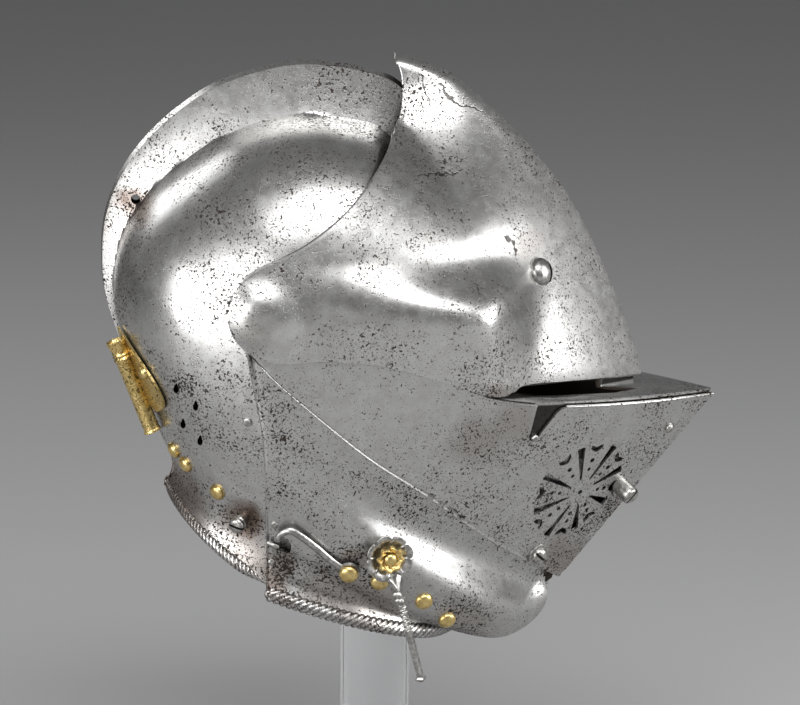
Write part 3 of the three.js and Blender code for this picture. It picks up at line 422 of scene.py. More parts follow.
class Plate:
    """A plate on both sides of the median plane, from its face and its grid lines.

    relief(low, end, top) adds height to the face, from the distances to its lower edge, end and upper edge.
    """

    def __init__(self, face, wall, u_length, v_length, u_count, v_count, warp=1.0, smoothing=0, relief=None):
        us = shares(u_length, u_count, True, True)
        vs = shares(v_length, v_count, False, True, warp)
        u, v = np.meshgrid(us, vs, indexing="ij")
        half = face(u, v)
        for _ in range(smoothing):
            y = half[..., 1]
            around = y[:-2, 1:-1] + y[2:, 1:-1] + y[1:-1, :-2] + y[1:-1, 2:]
            y[1:-1, 1:-1] = y[1:-1, 1:-1] * 0.5 + around * 0.125
        right = half[:, :0:-1] * (1, -1, 1)
        self.outer = np.concatenate([right, half], 1)
        normal = normals_of(self.outer)
        middle = self.outer.reshape(-1, 3).mean(0)
        if np.sum(normal * (self.outer - middle)) < 0:
            normal = -normal
        low, end, top = u * u_length, (1 - v) * v_length, (1 - u) * u_length
        if relief is not None:
            rise = relief(low, end, top)
            rise = np.concatenate([rise[:, :0:-1], rise], 1)[..., None]
            self.outer = self.outer + normal * rise
        self.normal = normal
        depth = rim_depth(np.minimum(np.minimum(low, end), top))
        depth = np.concatenate([depth[:, :0:-1], depth], 1)[..., None]
        self.top = self.outer - normal * depth
        inner = self.outer - normal * (wall - depth)
        side = np.sign(self.outer[..., 1])
        inner[..., 1] = np.where(side == 0, 0, side * np.maximum(inner[..., 1] * side, 0.15))
        self.inner = inner
        self.wall = wall

    def build(self, name, material, sharp=40.0):
        """The plate's object, its inner face painted dark as painted shade."""
        points, quads = self.mesh()
        obj = make_mesh(name, points, quads, material, sharp)
        # Second slot: the dark inside finish, painted shade on the inner face.
        obj.data.materials.append(MATERIALS["inside"])
        cells = (self.top.shape[0] - 1) * (self.top.shape[1] - 1)
        which = np.zeros(len(quads), int)
        which[cells : 2 * cells] = 1
        obj.data.polygons.foreach_set("material_index", which)
        return obj

    def mesh(self):
        rows, cols = self.top.shape[:2]
        count = rows * cols
        points = np.concatenate([self.top.reshape(-1, 3), self.inner.reshape(-1, 3)])
        index = np.arange(count).reshape(rows, cols)
        ring = np.concatenate([index[0, :-1], index[:-1, -1], index[-1, :0:-1], index[:0:-1, 0]])
        after = np.roll(ring, -1)
        walls = np.stack([ring, ring + count, after + count, after], 1)
        quads = np.concatenate([grid_faces(rows, cols), grid_faces(rows, cols, count, True), walls[:, ::-1]])
        return points, quads

    def seat(self, x, z, side=RIGHT):
        """The place on the outer face at a point of the side view, and its normal."""
        half = self.outer.shape[1] // 2
        cut = slice(0, half) if side == RIGHT else slice(half + 1, None)
        outer = self.outer[:, cut].reshape(-1, 3)
        normal = self.normal[:, cut].reshape(-1, 3)
        near = np.argmin(np.hypot(outer[:, 0] - x, outer[:, 2] - z))
        p, n = outer[near], normal[near]
        y = p[1] - (n[0] * (x - p[0]) + n[2] * (z - p[2])) / n[1]
        return np.array([x, y, z]), n


def facing(normal, roll=0.0):
    """Columns across, rise and normal, with rise as near up as it can be."""
    across = np.cross((0, 0, 1), normal)
    across = across / np.linalg.norm(across)
    rise = np.cross(normal, across)
    c, s = math.cos(roll), math.sin(roll)
    return np.stack([across * c + rise * s, rise * c - across * s, normal], 1)


def placed(points, spot, lift=0.0, roll=0.0):
    """Points of a small piece, from its own axes to its seat."""
    where, normal = spot
    return np.asarray(points, float) @ facing(normal, roll).T + where + normal * lift


def lathe(profile, sides=40, wave=None):
    """A turned piece about +z; wave scales the radius over (turn, height)."""
    profile = np.array(profile, float)
    turn = np.arange(sides) * 2 * math.pi / sides
    radius, height = profile[:, :1], profile[:, 1:]
    scale = np.ones((len(profile), sides)) if wave is None else wave(turn[None, :], height)
    r = radius * scale
    points = np.stack([r * np.cos(turn), r * np.sin(turn), np.repeat(height, sides, 1)], -1).reshape(-1, 3)
    quads = grid_faces(len(profile), sides, closed=True)
    caps = [tuple(range(sides))[::-1], tuple(range((len(profile) - 1) * sides, len(profile) * sides))]
    return points, [tuple(q) for q in quads] + caps


def tube(path, radius, sides=16, up=(0, 0, 1), squash=1.0, wave=None):
    """A rod along a path; radius may be one for each place; wave(step, turn) adds to it."""
    path = np.array(path, float)
    n = len(path)
    radius = np.broadcast_to(np.asarray(radius, float), (n,))
    along = np.gradient(path, axis=0)
    along /= np.linalg.norm(along, axis=1, keepdims=True)
    side = np.cross(along, up)
    side /= np.linalg.norm(side, axis=1, keepdims=True)
    over = np.cross(side, along)
    turn = np.arange(sides) * 2 * math.pi / sides
    scale = np.ones((n, sides)) if wave is None else 1 + wave(np.arange(n)[:, None], turn[None, :])
    r = radius[:, None] * scale
    points = path[:, None] + side[:, None] * (r * np.cos(turn))[..., None]
    points = points + over[:, None] * (r * np.sin(turn) * squash)[..., None]
    quads = [tuple(q) for q in grid_faces(n, sides, closed=True)]
    quads.append(tuple(range(sides))[::-1])
    quads.append(tuple(range((n - 1) * sides, n * sides)))
    return points.reshape(-1, 3), quads


def joined(parts):
    """Several (points, faces) as one."""
    points, faces, start = [], [], 0
    for p, f in parts:
        points.append(np.asarray(p, float))
        faces += [tuple(int(i) + start for i in face) for face in f]
        start += len(p)
    return np.concatenate(points), faces


def prism(outline, low, high):
    """A prism through a side-view outline between two places across the helmet."""
    outline = np.array(outline, float)
    n = len(outline)
    points = [np.stack([outline[:, 0], np.full(n, y), outline[:, 1]], 1) for y in (low, high)]
    faces = [(i, (i + 1) % n, n + (i + 1) % n, n + i) for i in range(n)]
    faces.append(tuple(range(n))[::-1])
    faces.append(tuple(range(n, 2 * n)))
    return np.concatenate(points), faces


def cut(obj, parts, finish=0):
    """Cuts solids out of an object; finish is the slot on the cut faces. The cutters are dropped."""
    tool = make_mesh("cutter", *joined(parts), obj.data.materials[0])
    for material in list(obj.data.materials)[1:]:
        tool.data.materials.append(material)
    tool.data.polygons.foreach_set("material_index", [finish] * len(tool.data.polygons))
    tool.data.update()
    modifier = obj.modifiers.new("openings", "BOOLEAN")
    modifier.operation = "DIFFERENCE"
    modifier.solver = "EXACT"
    modifier.object = tool
    shown = obj.evaluated_get(bpy.context.evaluated_depsgraph_get())
    mesh = bpy.data.meshes.new_from_object(shown)
    obj.modifiers.clear()
    old = obj.data
    obj.data = mesh
    mesh.set_sharp_from_angle(angle=math.radians(40))
    bpy.data.meshes.remove(old)
    bpy.data.objects.remove(tool)


def circle(x, z, radius, sides=24):
    turn = np.arange(sides) * 2 * math.pi / sides
    return np.stack([x + radius * np.cos(turn), z + radius * np.sin(turn)], 1)


def own(obj, body, slot, *nodes):
    """Ties a piece to its body and hides the CAD nodes it stands for; slot is not used."""
    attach(obj, body)
    if nodes:
        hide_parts(*nodes)
    return obj


# Materials


class Socket:
    """A shader value that takes part in Python arithmetic."""

    tree = None

    def __init__(self, socket):
        self.socket = socket

    @classmethod
    def node(cls, kind, settings=None, **inputs):
        node = cls.tree.nodes.new(kind)
        for name, value in (settings or {}).items():
            setattr(node, name, value)
        for name, value in inputs.items():
            cls.plug(node, name, value)
        return node

    @classmethod
    def plug(cls, node, name, value):
        numbered = name[0] == "i" and name[1:].isdigit()
        slot = node.inputs[int(name[1:]) if numbered else name.replace("_", " ")]
        if isinstance(value, Socket):
            cls.tree.links.new(value.socket, slot)
        else:
            slot.default_value = value

    def maths(self, operation, a, b=0.0, c=0.0):
        settings = {"operation": operation}
        return Socket(self.node("ShaderNodeMath", settings, i0=a, i1=b, i2=c).outputs[0])

    def __add__(self, other):
        return self.maths("ADD", self, other)

    __radd__ = __add__

    def __mul__(self, other):
        return self.maths("MULTIPLY", self, other)

    __rmul__ = __mul__

    def __sub__(self, other):
        return self.maths("SUBTRACT", self, other)

    def __rsub__(self, other):
        return self.maths("SUBTRACT", other, self)

    def __pow__(self, other):
        return self.maths("POWER", self, other)

    def __abs__(self):
        return self.maths("ABSOLUTE", self)

    def fraction(self):
        return self.maths("FRACT", self)

    def least(self, other):
        return self.maths("MINIMUM", self, other)

    def most(self, other):
        return self.maths("MAXIMUM", self, other)

    def ramp(self, low, high):
        """0 below low, 1 above high, smooth between; low above high turns it round."""
        if low > high:
            return 1.0 - self.ramp(high, low)
        settings = {"interpolation_type": "SMOOTHSTEP"}
        node = self.node("ShaderNodeMapRange", settings, Value=self, From_Min=low, From_Max=high)
        return Socket(node.outputs[0])


def mix(share, a, b):
    """A colour between two, by a share."""
    settings = {"data_type": "RGBA"}
    node = Socket.node("ShaderNodeMix", settings, i0=share, i6=a, i7=b)
    return Socket(node.outputs[2])


def colour(red, green, blue):
    return (red, green, blue, 1.0)


class Place:
    """The place on a piece in helmet axes, millimetres, and noises over it."""

    def __init__(self):
        coordinate = Socket.node("ShaderNodeTexCoord")
        settings = {"vector_type": "POINT"}
        node = Socket.node("ShaderNodeMapping", settings, Vector=Socket(coordinate.outputs["Object"]))
        node.inputs["Scale"].default_value = (1000.0, 1000.0, 1000.0)
        node.inputs["Location"].default_value = tuple(-value for value in PIVOT)
        settings = {"rotation_type": "Y_AXIS"}
        turn = Socket.node("ShaderNodeVectorRotate", settings, Vector=Socket(node.outputs[0]))
        turn.inputs["Angle"].default_value = -NOSE_DOWN
        self.vector = Socket(turn.outputs[0])
        parts = Socket.node("ShaderNodeSeparateXYZ", None, Vector=self.vector)
        self.x, self.y, self.z = (Socket(parts.outputs[i]) for i in range(3))

    def noise(self, size, detail=2.0, rough=0.5, seed=0.0):
        """Noise with features of a size in millimetres."""
        settings = {"noise_dimensions": "4D"}
        node = Socket.node("ShaderNodeTexNoise", settings, Vector=self.vector, W=seed, Scale=1.0 / size)
        node.inputs["Detail"].default_value = detail
        node.inputs["Roughness"].default_value = rough
        return Socket(node.outputs[0])

    def far(self, x, z, warp=None):
        """Distance from a point of the side view."""
        dx, dz = self.x - x, self.z - z
        away = (dx * dx + dz * dz) ** 0.5
        return away if warp is None else away + warp

    def line(self, a, b, warp_x=0.0, warp_z=0.0):
        """Distance from a line between two points of the side view."""
        px, pz = self.x + warp_x - a[0], self.z + warp_z - a[1]
        dx, dz = b[0] - a[0], b[1] - a[1]
        length = dx * dx + dz * dz
        t = ((px * dx + pz * dz) * (1 / length)).most(0.0).least(1.0)
        ex, ez = px - t * dx, pz - t * dz
        return (ex * ex + ez * ez) ** 0.5


def begin(name, roughness=0.4, metallic=1.0):
    """A new material with its shader."""
    material = bpy.data.materials.new(name)
    material.use_nodes = True
    Socket.tree = material.node_tree
    Socket.tree.nodes.clear()
    shader = Socket.node("ShaderNodeBsdfPrincipled")
    shader.inputs["Metallic"].default_value = metallic
    shader.inputs["Roughness"].default_value = roughness
    output = Socket.node("ShaderNodeOutputMaterial")
    Socket.tree.links.new(shader.outputs[0], output.inputs[0])
    return material, shader


def bump(height, distance, strength=1.0):
    """A normal from a height."""
    node = Socket.node("ShaderNodeBump", None, Height=height)
    node.inputs["Distance"].default_value = distance / 1000
    node.inputs["Strength"].default_value = strength
    return Socket(node.outputs[0])


def plate_steel(name, tone, pitting, stains=(), lines=(), rough=0.3, roped=False, painted_shade_heights=None):
    """Old steel, pitted in drifts, with brown stains (x, z, radius, share) and dark lines (a, b, width).

    A roped steel is painted dark in the mesh's grooves, as painted shade in the rope's cuts. The shade
    heights, the last argument, mark where the steel is painted near black, under the first and over the
    second: painted shade inside the ventail and under the brow's edge.
    """
    material, shader = begin(name, rough)
    at = Place()
    drift = at.noise(26.0, 3.0, 0.6, 1.0)
    broad = at.noise(70.0, 2.0, 0.5, 2.0)
    fine = at.noise(1.5, 2.0, 0.6, 3.0)
    finer = at.noise(0.8, 1.0, 0.5, 4.0)
    crowd = (drift - 0.5) * 0.38 + (broad - 0.5) * 0.28 + pitting
    for x, z, radius, share in stains:
        crowd = crowd + at.far(x, z).ramp(radius, radius * 0.3) * share * 0.08
    pits = (fine + crowd).ramp(0.578, 0.645)
    specks = (finer + crowd * 0.7).ramp(0.60, 0.67) * 0.75
    dark = pits.most(specks)
    mottle = at.noise(6.0, 4.0, 0.7, 5.0)
    cloud = at.noise(18.0, 3.0, 0.6, 6.0)
    dull, bright = colour(tone * 0.86, tone * 0.85, tone * 0.83), colour(tone, tone, tone * 0.985)
    clean = mix(mottle.ramp(0.3, 0.7), dull, bright)
    brown = colour(0.17, 0.118, 0.092)
    stain = cloud.ramp(0.62, 0.78) * 0.12
    for x, z, radius, share in stains:
        spot = at.far(x, z, (cloud - 0.5) * radius * 1.1).ramp(radius, radius * 0.25) * share
        stain = stain.most(spot)
    stain = stain * (0.45 + mottle * 0.9).least(1.0)
    shade = mix(stain, clean, brown)
    shade = mix(dark, shade, colour(0.045, 0.036, 0.031))
    cracks = None
    for a, b, width in lines:
        wobble = (at.noise(4.0, 2.0, 0.5, 7.0) - 0.5) * 5.0
        near = at.line(a, b, wobble, (at.noise(4.0, 2.0, 0.5, 8.0) - 0.5) * 5.0).ramp(width, width * 0.4)
        cracks = near if cracks is None else cracks.most(near)
    height = mottle * 0.05 - dark - stain * 0.2
    if roped:
        # Painted shade: the colour goes dark brown in the rope's grooves, from the mesh's groove attribute.
        groove = Socket(Socket.node("ShaderNodeAttribute", {"attribute_name": "groove"}).outputs["Fac"])
        shade = mix(groove * 0.9, shade, colour(0.045, 0.034, 0.028))
    # Painted shade: near black below the lower height, inside the ventail, and above the upper one, under the
    # brow's edge.
    if painted_shade_heights is not None:
        low, high = painted_shade_heights
        painted_band_shade = at.z.ramp(low + 0.4, low - 0.6).most(at.z.ramp(high - 0.4, high + 0.6)) * 0.93
        shade = mix(painted_band_shade, shade, colour(0.02, 0.017, 0.015))
    if cracks is not None:
        shade = mix(cracks * 0.9, shade, colour(0.03, 0.025, 0.022))
        height = height - cracks * 2.0
    Socket.plug(shader, "Base Color", shade)
    roughness = rough + (mottle - 0.5) * 0.16 + dark * 0.35 + stain * 0.15 + (cloud - 0.5) * 0.1
    Socket.plug(shader, "Roughness", roughness.most(0.12).least(0.9))
    Socket.plug(shader, "Normal", bump(height, 0.05, 0.8))
    return material


def inside_painted_shade():
    """Painted shade: the inner face of the plates and the walls of screw slots and sights, dark and mottled.
    """
    material, shader = begin("inside_painted_shade", 0.6)
    at = Place()
    mottle = at.noise(7.0, 4.0, 0.6, 51.0)
    Socket.plug(shader, "Base Color", mix(mottle, colour(0.035, 0.030, 0.026), colour(0.085, 0.068, 0.056)))
    Socket.plug(shader, "Roughness", 0.5 + mottle * 0.3)
    Socket.plug(shader, "Normal", bump(mottle, 0.2))
    return material


def fitting_steel():
    """Worn steel of screws, pegs, hook and prop, with dark brown specks."""
    material, shader = begin("fitting_steel", 0.26)
    at = Place()
    mottle = at.noise(2.2, 3.0, 0.6, 11.0)
    fine = at.noise(0.8, 1.0, 0.5, 12.0)
    dark = (fine + (mottle - 0.5) * 0.5).ramp(0.68, 0.78)
    shade = mix(mottle.ramp(0.35, 0.7), colour(0.27, 0.262, 0.25), colour(0.56, 0.55, 0.53))
    Socket.plug(shader, "Base Color", mix(dark * 0.85, shade, colour(0.06, 0.047, 0.038)))
    Socket.plug(shader, "Roughness", 0.24 + mottle * 0.22)
    Socket.plug(shader, "Normal", bump(mottle - dark, 0.08))
    return material


def old_brass(name="old_brass", engraved=False):
    """Golden brass with olive-brown patches."""
    material, shader = begin(name, 0.3)
    at = Place()
    mottle = at.noise(3.0, 3.0, 0.6, 21.0)
    fine = at.noise(0.9, 2.0, 0.5, 22.0)
    dark = (fine + (mottle - 0.5) * 0.6).ramp(0.62, 0.78) * 0.7
    if engraved:
        curl = at.noise(4.6, 1.0, 0.3, 23.0)
        scroll = abs((curl * 7.0 - 3.0).fraction() - 0.5)
        dark = dark.most(scroll.ramp(0.16, 0.05) * 0.85)
    shade = mix(mottle.ramp(0.3, 0.7), colour(0.55, 0.40, 0.15), colour(0.80, 0.62, 0.28))
    Socket.plug(shader, "Base Color", mix(dark, shade, colour(0.10, 0.072, 0.022)))
    Socket.plug(shader, "Roughness", 0.24 + mottle * 0.16 + dark * 0.3)
    Socket.plug(shader, "Normal", bump(mottle * 0.3 - dark, 0.15))
    return material


def clear_acrylic():
    """Clear acrylic with the faintest haze."""
    material, shader = begin("clear_acrylic", 0.03, 0.0)
    at = Place()
    haze = at.noise(40.0, 2.0, 0.5, 31.0)
    shader.inputs["Transmission Weight"].default_value = 0.92
    shader.inputs["IOR"].default_value = 1.49
    Socket.plug(shader, "Base Color", mix(haze, colour(0.93, 0.94, 0.95), colour(0.97, 0.975, 0.98)))
    Socket.plug(shader, "Roughness", 0.02 + haze * 0.05)
    return material


def floor_paint(tone):
    """Plain pale floor."""
    material, shader = begin("floor_paint", 0.9, 0.0)
    at = Place()
    grain = at.noise(900.0, 2.0, 0.5, 41.0)
    low, high = tone * 0.98, tone * 1.02
    Socket.plug(shader, "Base Color", mix(grain, colour(low, low, low), colour(high, high, high)))
    return material


# The plates


def in_sight():
    """Cutters of the two sight slits, open in plan, in the space between the brow's edge and the shelf."""
    plan = [
        (134.2, 69.3), (142.1, 66.2), (152, 60.6), (171, 48), (193.5, 34.5),
        (207.4, 18.7), (183, 23.7), (160, 35.6), (134.2, 50),
    ]
    parts = []
    for side in (RIGHT, LEFT):
        n = len(plan)
        ring = np.array(plan) * (1, side)
        low = np.column_stack([ring, np.full(n, -46.0)])
        high = np.column_stack([ring, np.full(n, -34.3)])
        faces = [(i, (i + 1) % n, n + (i + 1) % n, n + i) for i in range(n)]
        faces += [tuple(range(n))[::-1], tuple(range(n, 2 * n))]
        if side == RIGHT:
            faces = [face[::-1] for face in faces]
        parts.append((np.concatenate([low, high]), faces))
    return parts


def roped(path, out, tall, thick, pitch, lean, closing, sides=24):
    """A roped roll along an edge, its cuts aslant; path and out give the line and its outward side."""
    far = np.concatenate([[0], np.cumsum(np.linalg.norm(np.diff(path, axis=0), axis=1))])
    count = int(far[-1] / pitch * 12)
    at = np.linspace(0, far[-1], count)
    centre = np.stack([np.interp(at, far, path[:, i]) for i in range(3)], 1)
    outward = np.stack([np.interp(at, far, out[:, i]) for i in range(3)], 1)
    ends = 0.45 + 0.55 * smooth_step(0, 3, at if closing == "start" else far[-1] - at)
    tall, thick = (np.interp(at, far, value) * ends for value in (tall, thick))
    along = np.gradient(centre, axis=0)
    along /= np.linalg.norm(along, axis=1, keepdims=True)
    outward -= along * np.sum(outward * along, 1, keepdims=True)
    outward /= np.linalg.norm(outward, axis=1, keepdims=True)
    down = np.cross(along, outward)
    down *= np.sign(-np.sum(down * (0, 0, 1), 1, keepdims=True))
    turn = np.arange(sides) * 2 * math.pi / sides
    phase = at[:, None] / pitch + lean * np.sin(turn)[None, :]
    groove = (0.5 - 0.5 * np.cos(2 * math.pi * phase)) ** 3
    ridge = 1 - 0.2 * groove
    points = centre[:, None] + outward[:, None] * (thick[:, None] * np.cos(turn) * ridge)[..., None]
    points = points + down[:, None] * (tall[:, None] * np.sin(turn) * ridge)[..., None]
    quads = [tuple(q) for q in grid_faces(count, sides, closed=True)]
    quads += [tuple(range(sides))[::-1], tuple(range((count - 1) * sides, count * sides))]
    return points.reshape(-1, 3), quads, groove.ravel()


def rim_roll(name, plate, tall, thick, pitch, lean, drop, material):
    """The roped roll on a plate's lower edge, right end to left end, leaning the other way on the left."""
    middle = plate.outer.shape[1] // 2
    down = plate.outer[0] - plate.outer[4]
    down /= np.linalg.norm(down, axis=1, keepdims=True)
    line = plate.outer[0] - plate.normal[0] * plate.wall * 0.4 + down * drop
    halves = []
    for part, sign, closing in ((slice(0, middle + 1), 1, "start"), (slice(middle, None), -1, "end")):
        out = plate.normal[0][part]
        halves.append(roped(line[part], out, tall[part], thick[part], pitch, lean * sign, closing))
    points, faces = joined([half[:2] for half in halves])
    roll = make_mesh(name, points, faces, material)
    # The groove attribute says where painted shade darkens the rope's colour.
    groove = roll.data.attributes.new("groove", "FLOAT", "POINT")
    groove.data.foreach_set("value", np.concatenate([half[2] for half in halves]))
    return roll


SKULL_LEAN = 0.9
BEVOR_LEAN = 1.1


def build_skull(settings, steel):
    plate = Plate(skull_face, SKULL_WALL, 330, 175, settings.plate_lines, 84)
    skull = plate.build("Skull", steel)
    drops = []
    for x, z in [(-42.6, -46.5), (-31.6, -53.9), (-37.6, -66.9), (-27.9, -74.3)]:
        ring = [
            (1.5, -0.4), (1.25, -1.9), (0.5, -2.9), (-0.5, -2.9), (-1.25, -1.9), (-1.5, -0.4),
            (-0.7, 2.2), (0, 3.6), (0.7, 2.2),
        ]
        shape = [(x + a, z + b) for a, b in ring]
        drops += [prism(shape, -130, -30), prism(shape, 30, 130)]
    drops.append(prism(circle(-71.5, 42.5, 2.6), -60, 60))
    cut(skull, drops)
    own(skull, "skull_and_stand", "steel", "skull")
    v = np.abs(np.linspace(-1, 1, plate.outer.shape[1]))
    fade = 1 - smooth_step(0.8, 0.88, v)
    roll = rim_roll(
        "Skull_rim", plate, 1.0 + 2.2 * fade, 0.9 + 1.9 * fade, 2.7, SKULL_LEAN, 1.2, MATERIALS["skull_rope"]
    )
    own(roll, "skull_and_stand", "steel")
    return plate


def build_bevor(steel):
    def turned_edge(low, end, top):
        return 0.75 * np.exp(-(((end - 0.9) / 0.9) ** 2)) - 0.35 * np.exp(-(((end - 3.2) / 1.0) ** 2))

    plate = Plate(bevor_face, PLATE_WALL, 150, 190, 60, 96, 1.15, relief=turned_edge)
    bevor = plate.build("Bevor", steel)
    keyhole = [
        (14.6, -123.2), (17, -121.6), (20, -121.5), (23.2, -123), (24.6, -126.4), (24.4, -130.5),
        (22.4, -131.8), (20.4, -129.6), (17.6, -129.2), (15.8, -130.4), (14.4, -127),
    ]
    cut(bevor, [prism(keyhole, -110, -40), prism(circle(0, 0, 3.6), -120, 120)])
    own(bevor, "bevor", "steel", "bevor")
    ones = np.ones(plate.outer.shape[1])
    roll = rim_roll(
        "Bevor_rim", plate, 4.3 * ones, 2.7 * ones, 3.7, BEVOR_LEAN, 0.4, MATERIALS["bevor_rope"]
    )
    own(roll, "bevor", "steel")
    return plate


def build_visor(steel):
    plate = Plate(visor_face, PLATE_WALL, 260, 230, 100, 100, 0.95)
    visor = plate.build("Visor", steel, 30)
    # The cut faces of the sight slits take the dark inside finish: painted shade in the slits.
    cut(visor, in_sight() + [prism(circle(0, 0, 3.6), -120, 120)], 1)
    own(visor, "visor", "steel", "visor")
    return plate


NOTCH_SPOT = (150.1, -61.1)
ROSETTE_SPOT = (179.8, -97.9)


def rosette_cuts():
    """Outlines of the pierced rosette: eight widening slots, and between them two dots and a comma."""
    outlines = [circle(0, 0, 1.5, 12)]
    slots = [
        (110.6, 31.7), (68.3, 31.9), (29.5, 27.7), (-21.9, 24.3),
        (-74.1, 27.5), (-113.9, 30.9), (-158.8, 30.1), (156.4, 32.2),
    ]
    commas = [
        (131, 30.6), (91, 30.8), (49, 29.4), (3, 24.5), (-51, 24.6), (-94, 27.9), (-139, 30.0), (177, 29.6),
    ]

    def at(radius, angle, off):
        return (
            radius * math.cos(angle) - off * math.sin(angle),
            radius * math.sin(angle) + off * math.cos(angle),
        )

    for degrees, far in slots:
        a = math.radians(degrees)
        ring = [
            (8.8, -0.6), (far - 3, -2.1), (far - 0.7, -2.6), (far, -1.6), (far, 1.6),
            (far - 0.7, 2.6), (far - 3, 2.1), (8.8, 0.6),
        ]
        outlines.append([at(r, a, off) for r, off in ring])
    for degrees, far in commas:
        a = math.radians(degrees)
        for r, size in ((far * 0.50, 1.2), (far * 0.69, 1.45)):
            outlines.append(circle(*at(r, a, 0), size, 10))
        ring = [
            (far - 4.2, -0.6), (far - 3.2, -2.2), (far - 1.2, -4.1), (far + 0.8, -3.9), (far + 0.2, -1.8),
            (far - 0.9, 0.3), (far, 2.3), (far + 0.4, 4.0), (far - 1.8, 3.9), (far - 3.4, 1.9),
        ]
        outlines.append([at(r, a, off) for r, off in ring])
    return outlines


def seat_prism(outline, spot, side, low=-5.0, high=4.0):
    """A prism through a plate along its own normal; the outline is seen from outside on the right side."""
    where, normal = spot
    turn = facing(normal)
    outline = np.array(outline, float) * (1 if side == RIGHT else -1, 1)
    n = len(outline)
    points = np.concatenate([np.column_stack([outline, np.full(n, depth)]) for depth in (low, high)])
    faces = [(i, (i + 1) % n, n + (i + 1) % n, n + i) for i in range(n)]
    faces += [tuple(range(n))[::-1], tuple(range(n, 2 * n))]
    if side == LEFT:
        faces = [face[::-1] for face in faces]
    return points @ turn.T + where, faces


def build_ventail(steel):
    def groove(low, end, top):
        hollow = 0.5 * np.exp(-(((low - 2.6) / 1.0) ** 2))
        return 0.3 * np.exp(-(((top - 0.8) / 0.8) ** 2)) - hollow

    plate = Plate(ventail_face, PLATE_WALL, 120, 245, 52, 116, 1.05, relief=groove)
    ventail = plate.build("Ventail", steel)
    parts = [prism(circle(0, 0, 3.6), -120, 120)]
    bottom = [(2.9 * math.cos(math.radians(a)), 2.9 * math.sin(math.radians(a))) for a in range(186, 346, 12)]
    notch = bottom + [(4.2, 2.6), (10.6, 14.2), (12.6, 16.4), (15.4, 17.2), (15.4, 26), (-2.9, 26), (-2.9, 2)]
    tooth = [(-2.2, -5), (-2.6, 2.3), (0, 1.9), (2.6, 0.9), (0.9, -0.6), (0.6, -5)]
    for side in (RIGHT, LEFT):
        spot = plate.seat(*NOTCH_SPOT, side)
        parts.append(seat_prism(notch, spot, side))
        spot = plate.seat(*ROSETTE_SPOT, side)
        parts += [seat_prism(outline, spot, side) for outline in rosette_cuts()]
        for x, z in [(97.5, -94.6), (103.5, -99.3), (109, -103.6), (114.8, -108)]:
            parts.append(prism([(x + a, z + b) for a, b in tooth], *sorted((side * 40, side * 100))))
    cut(ventail, parts, 0)
    own(ventail, "ventail", "steel", "ventail")
    return plate


def build_brow(steel):
    plate = Plate(brow_face, PLATE_WALL, 190, 300, 84, 150, 1.05, smoothing=24)
    brow = plate.build("Brow_reinforce", steel)
    own(brow, "visor", "steel", "brow_reinforce")
    return plate


# The fittings


def dome_profile(radius, height, lip=0.0, steps=10):
    """A low dome on a short upright edge, from the foot up."""
    profile = [(0.01, -0.6), (radius, -0.6), (radius, lip)]
    for i in range(1, steps + 1):
        turn = math.pi / 2 * i / steps
        profile.append((max(radius * math.cos(turn), 0.02), lip + (height - lip) * math.sin(turn)))
    return profile


def slot_cut(obj, spot, roll, width, depth_from, shift=0.0, side=RIGHT):
    """Cuts a screw slot into a head on its seat."""
    w, far = width / 2, 12.0
    box = [(-far, -w), (far, -w), (far, w), (-far, w)]
    turn = np.array([[math.cos(roll), -math.sin(roll)], [math.sin(roll), math.cos(roll)]])
    ring = (np.array(box) + (0, shift)) @ turn.T
    # The slot's walls take the second slot, the dark inside finish: painted shade in the slot.
    cut(obj, [seat_prism(ring, spot, side, depth_from, 14.0)], 1)


def head(name, plate, x, z, side, profile, material, body, slot, node, lift=0.3, screw=None, sides=40):
    """A turned head on a plate's face; screw is (roll, width, depth, shift) for a slotted one."""
    spot = plate.seat(x, z, side)
    points, faces = lathe(profile, sides)
    obj = make_mesh(name, placed(points, spot, lift), faces, material, 50)
    # Second slot: the dark inside finish, painted shade for the screw slot's walls.
    obj.data.materials.append(MATERIALS["inside"])
    if screw:
        roll, width, depth, shift = screw
        slot_cut(obj, spot, roll, width, depth + lift, shift, side)
    return own(obj, body, slot, *([node] if node else []))


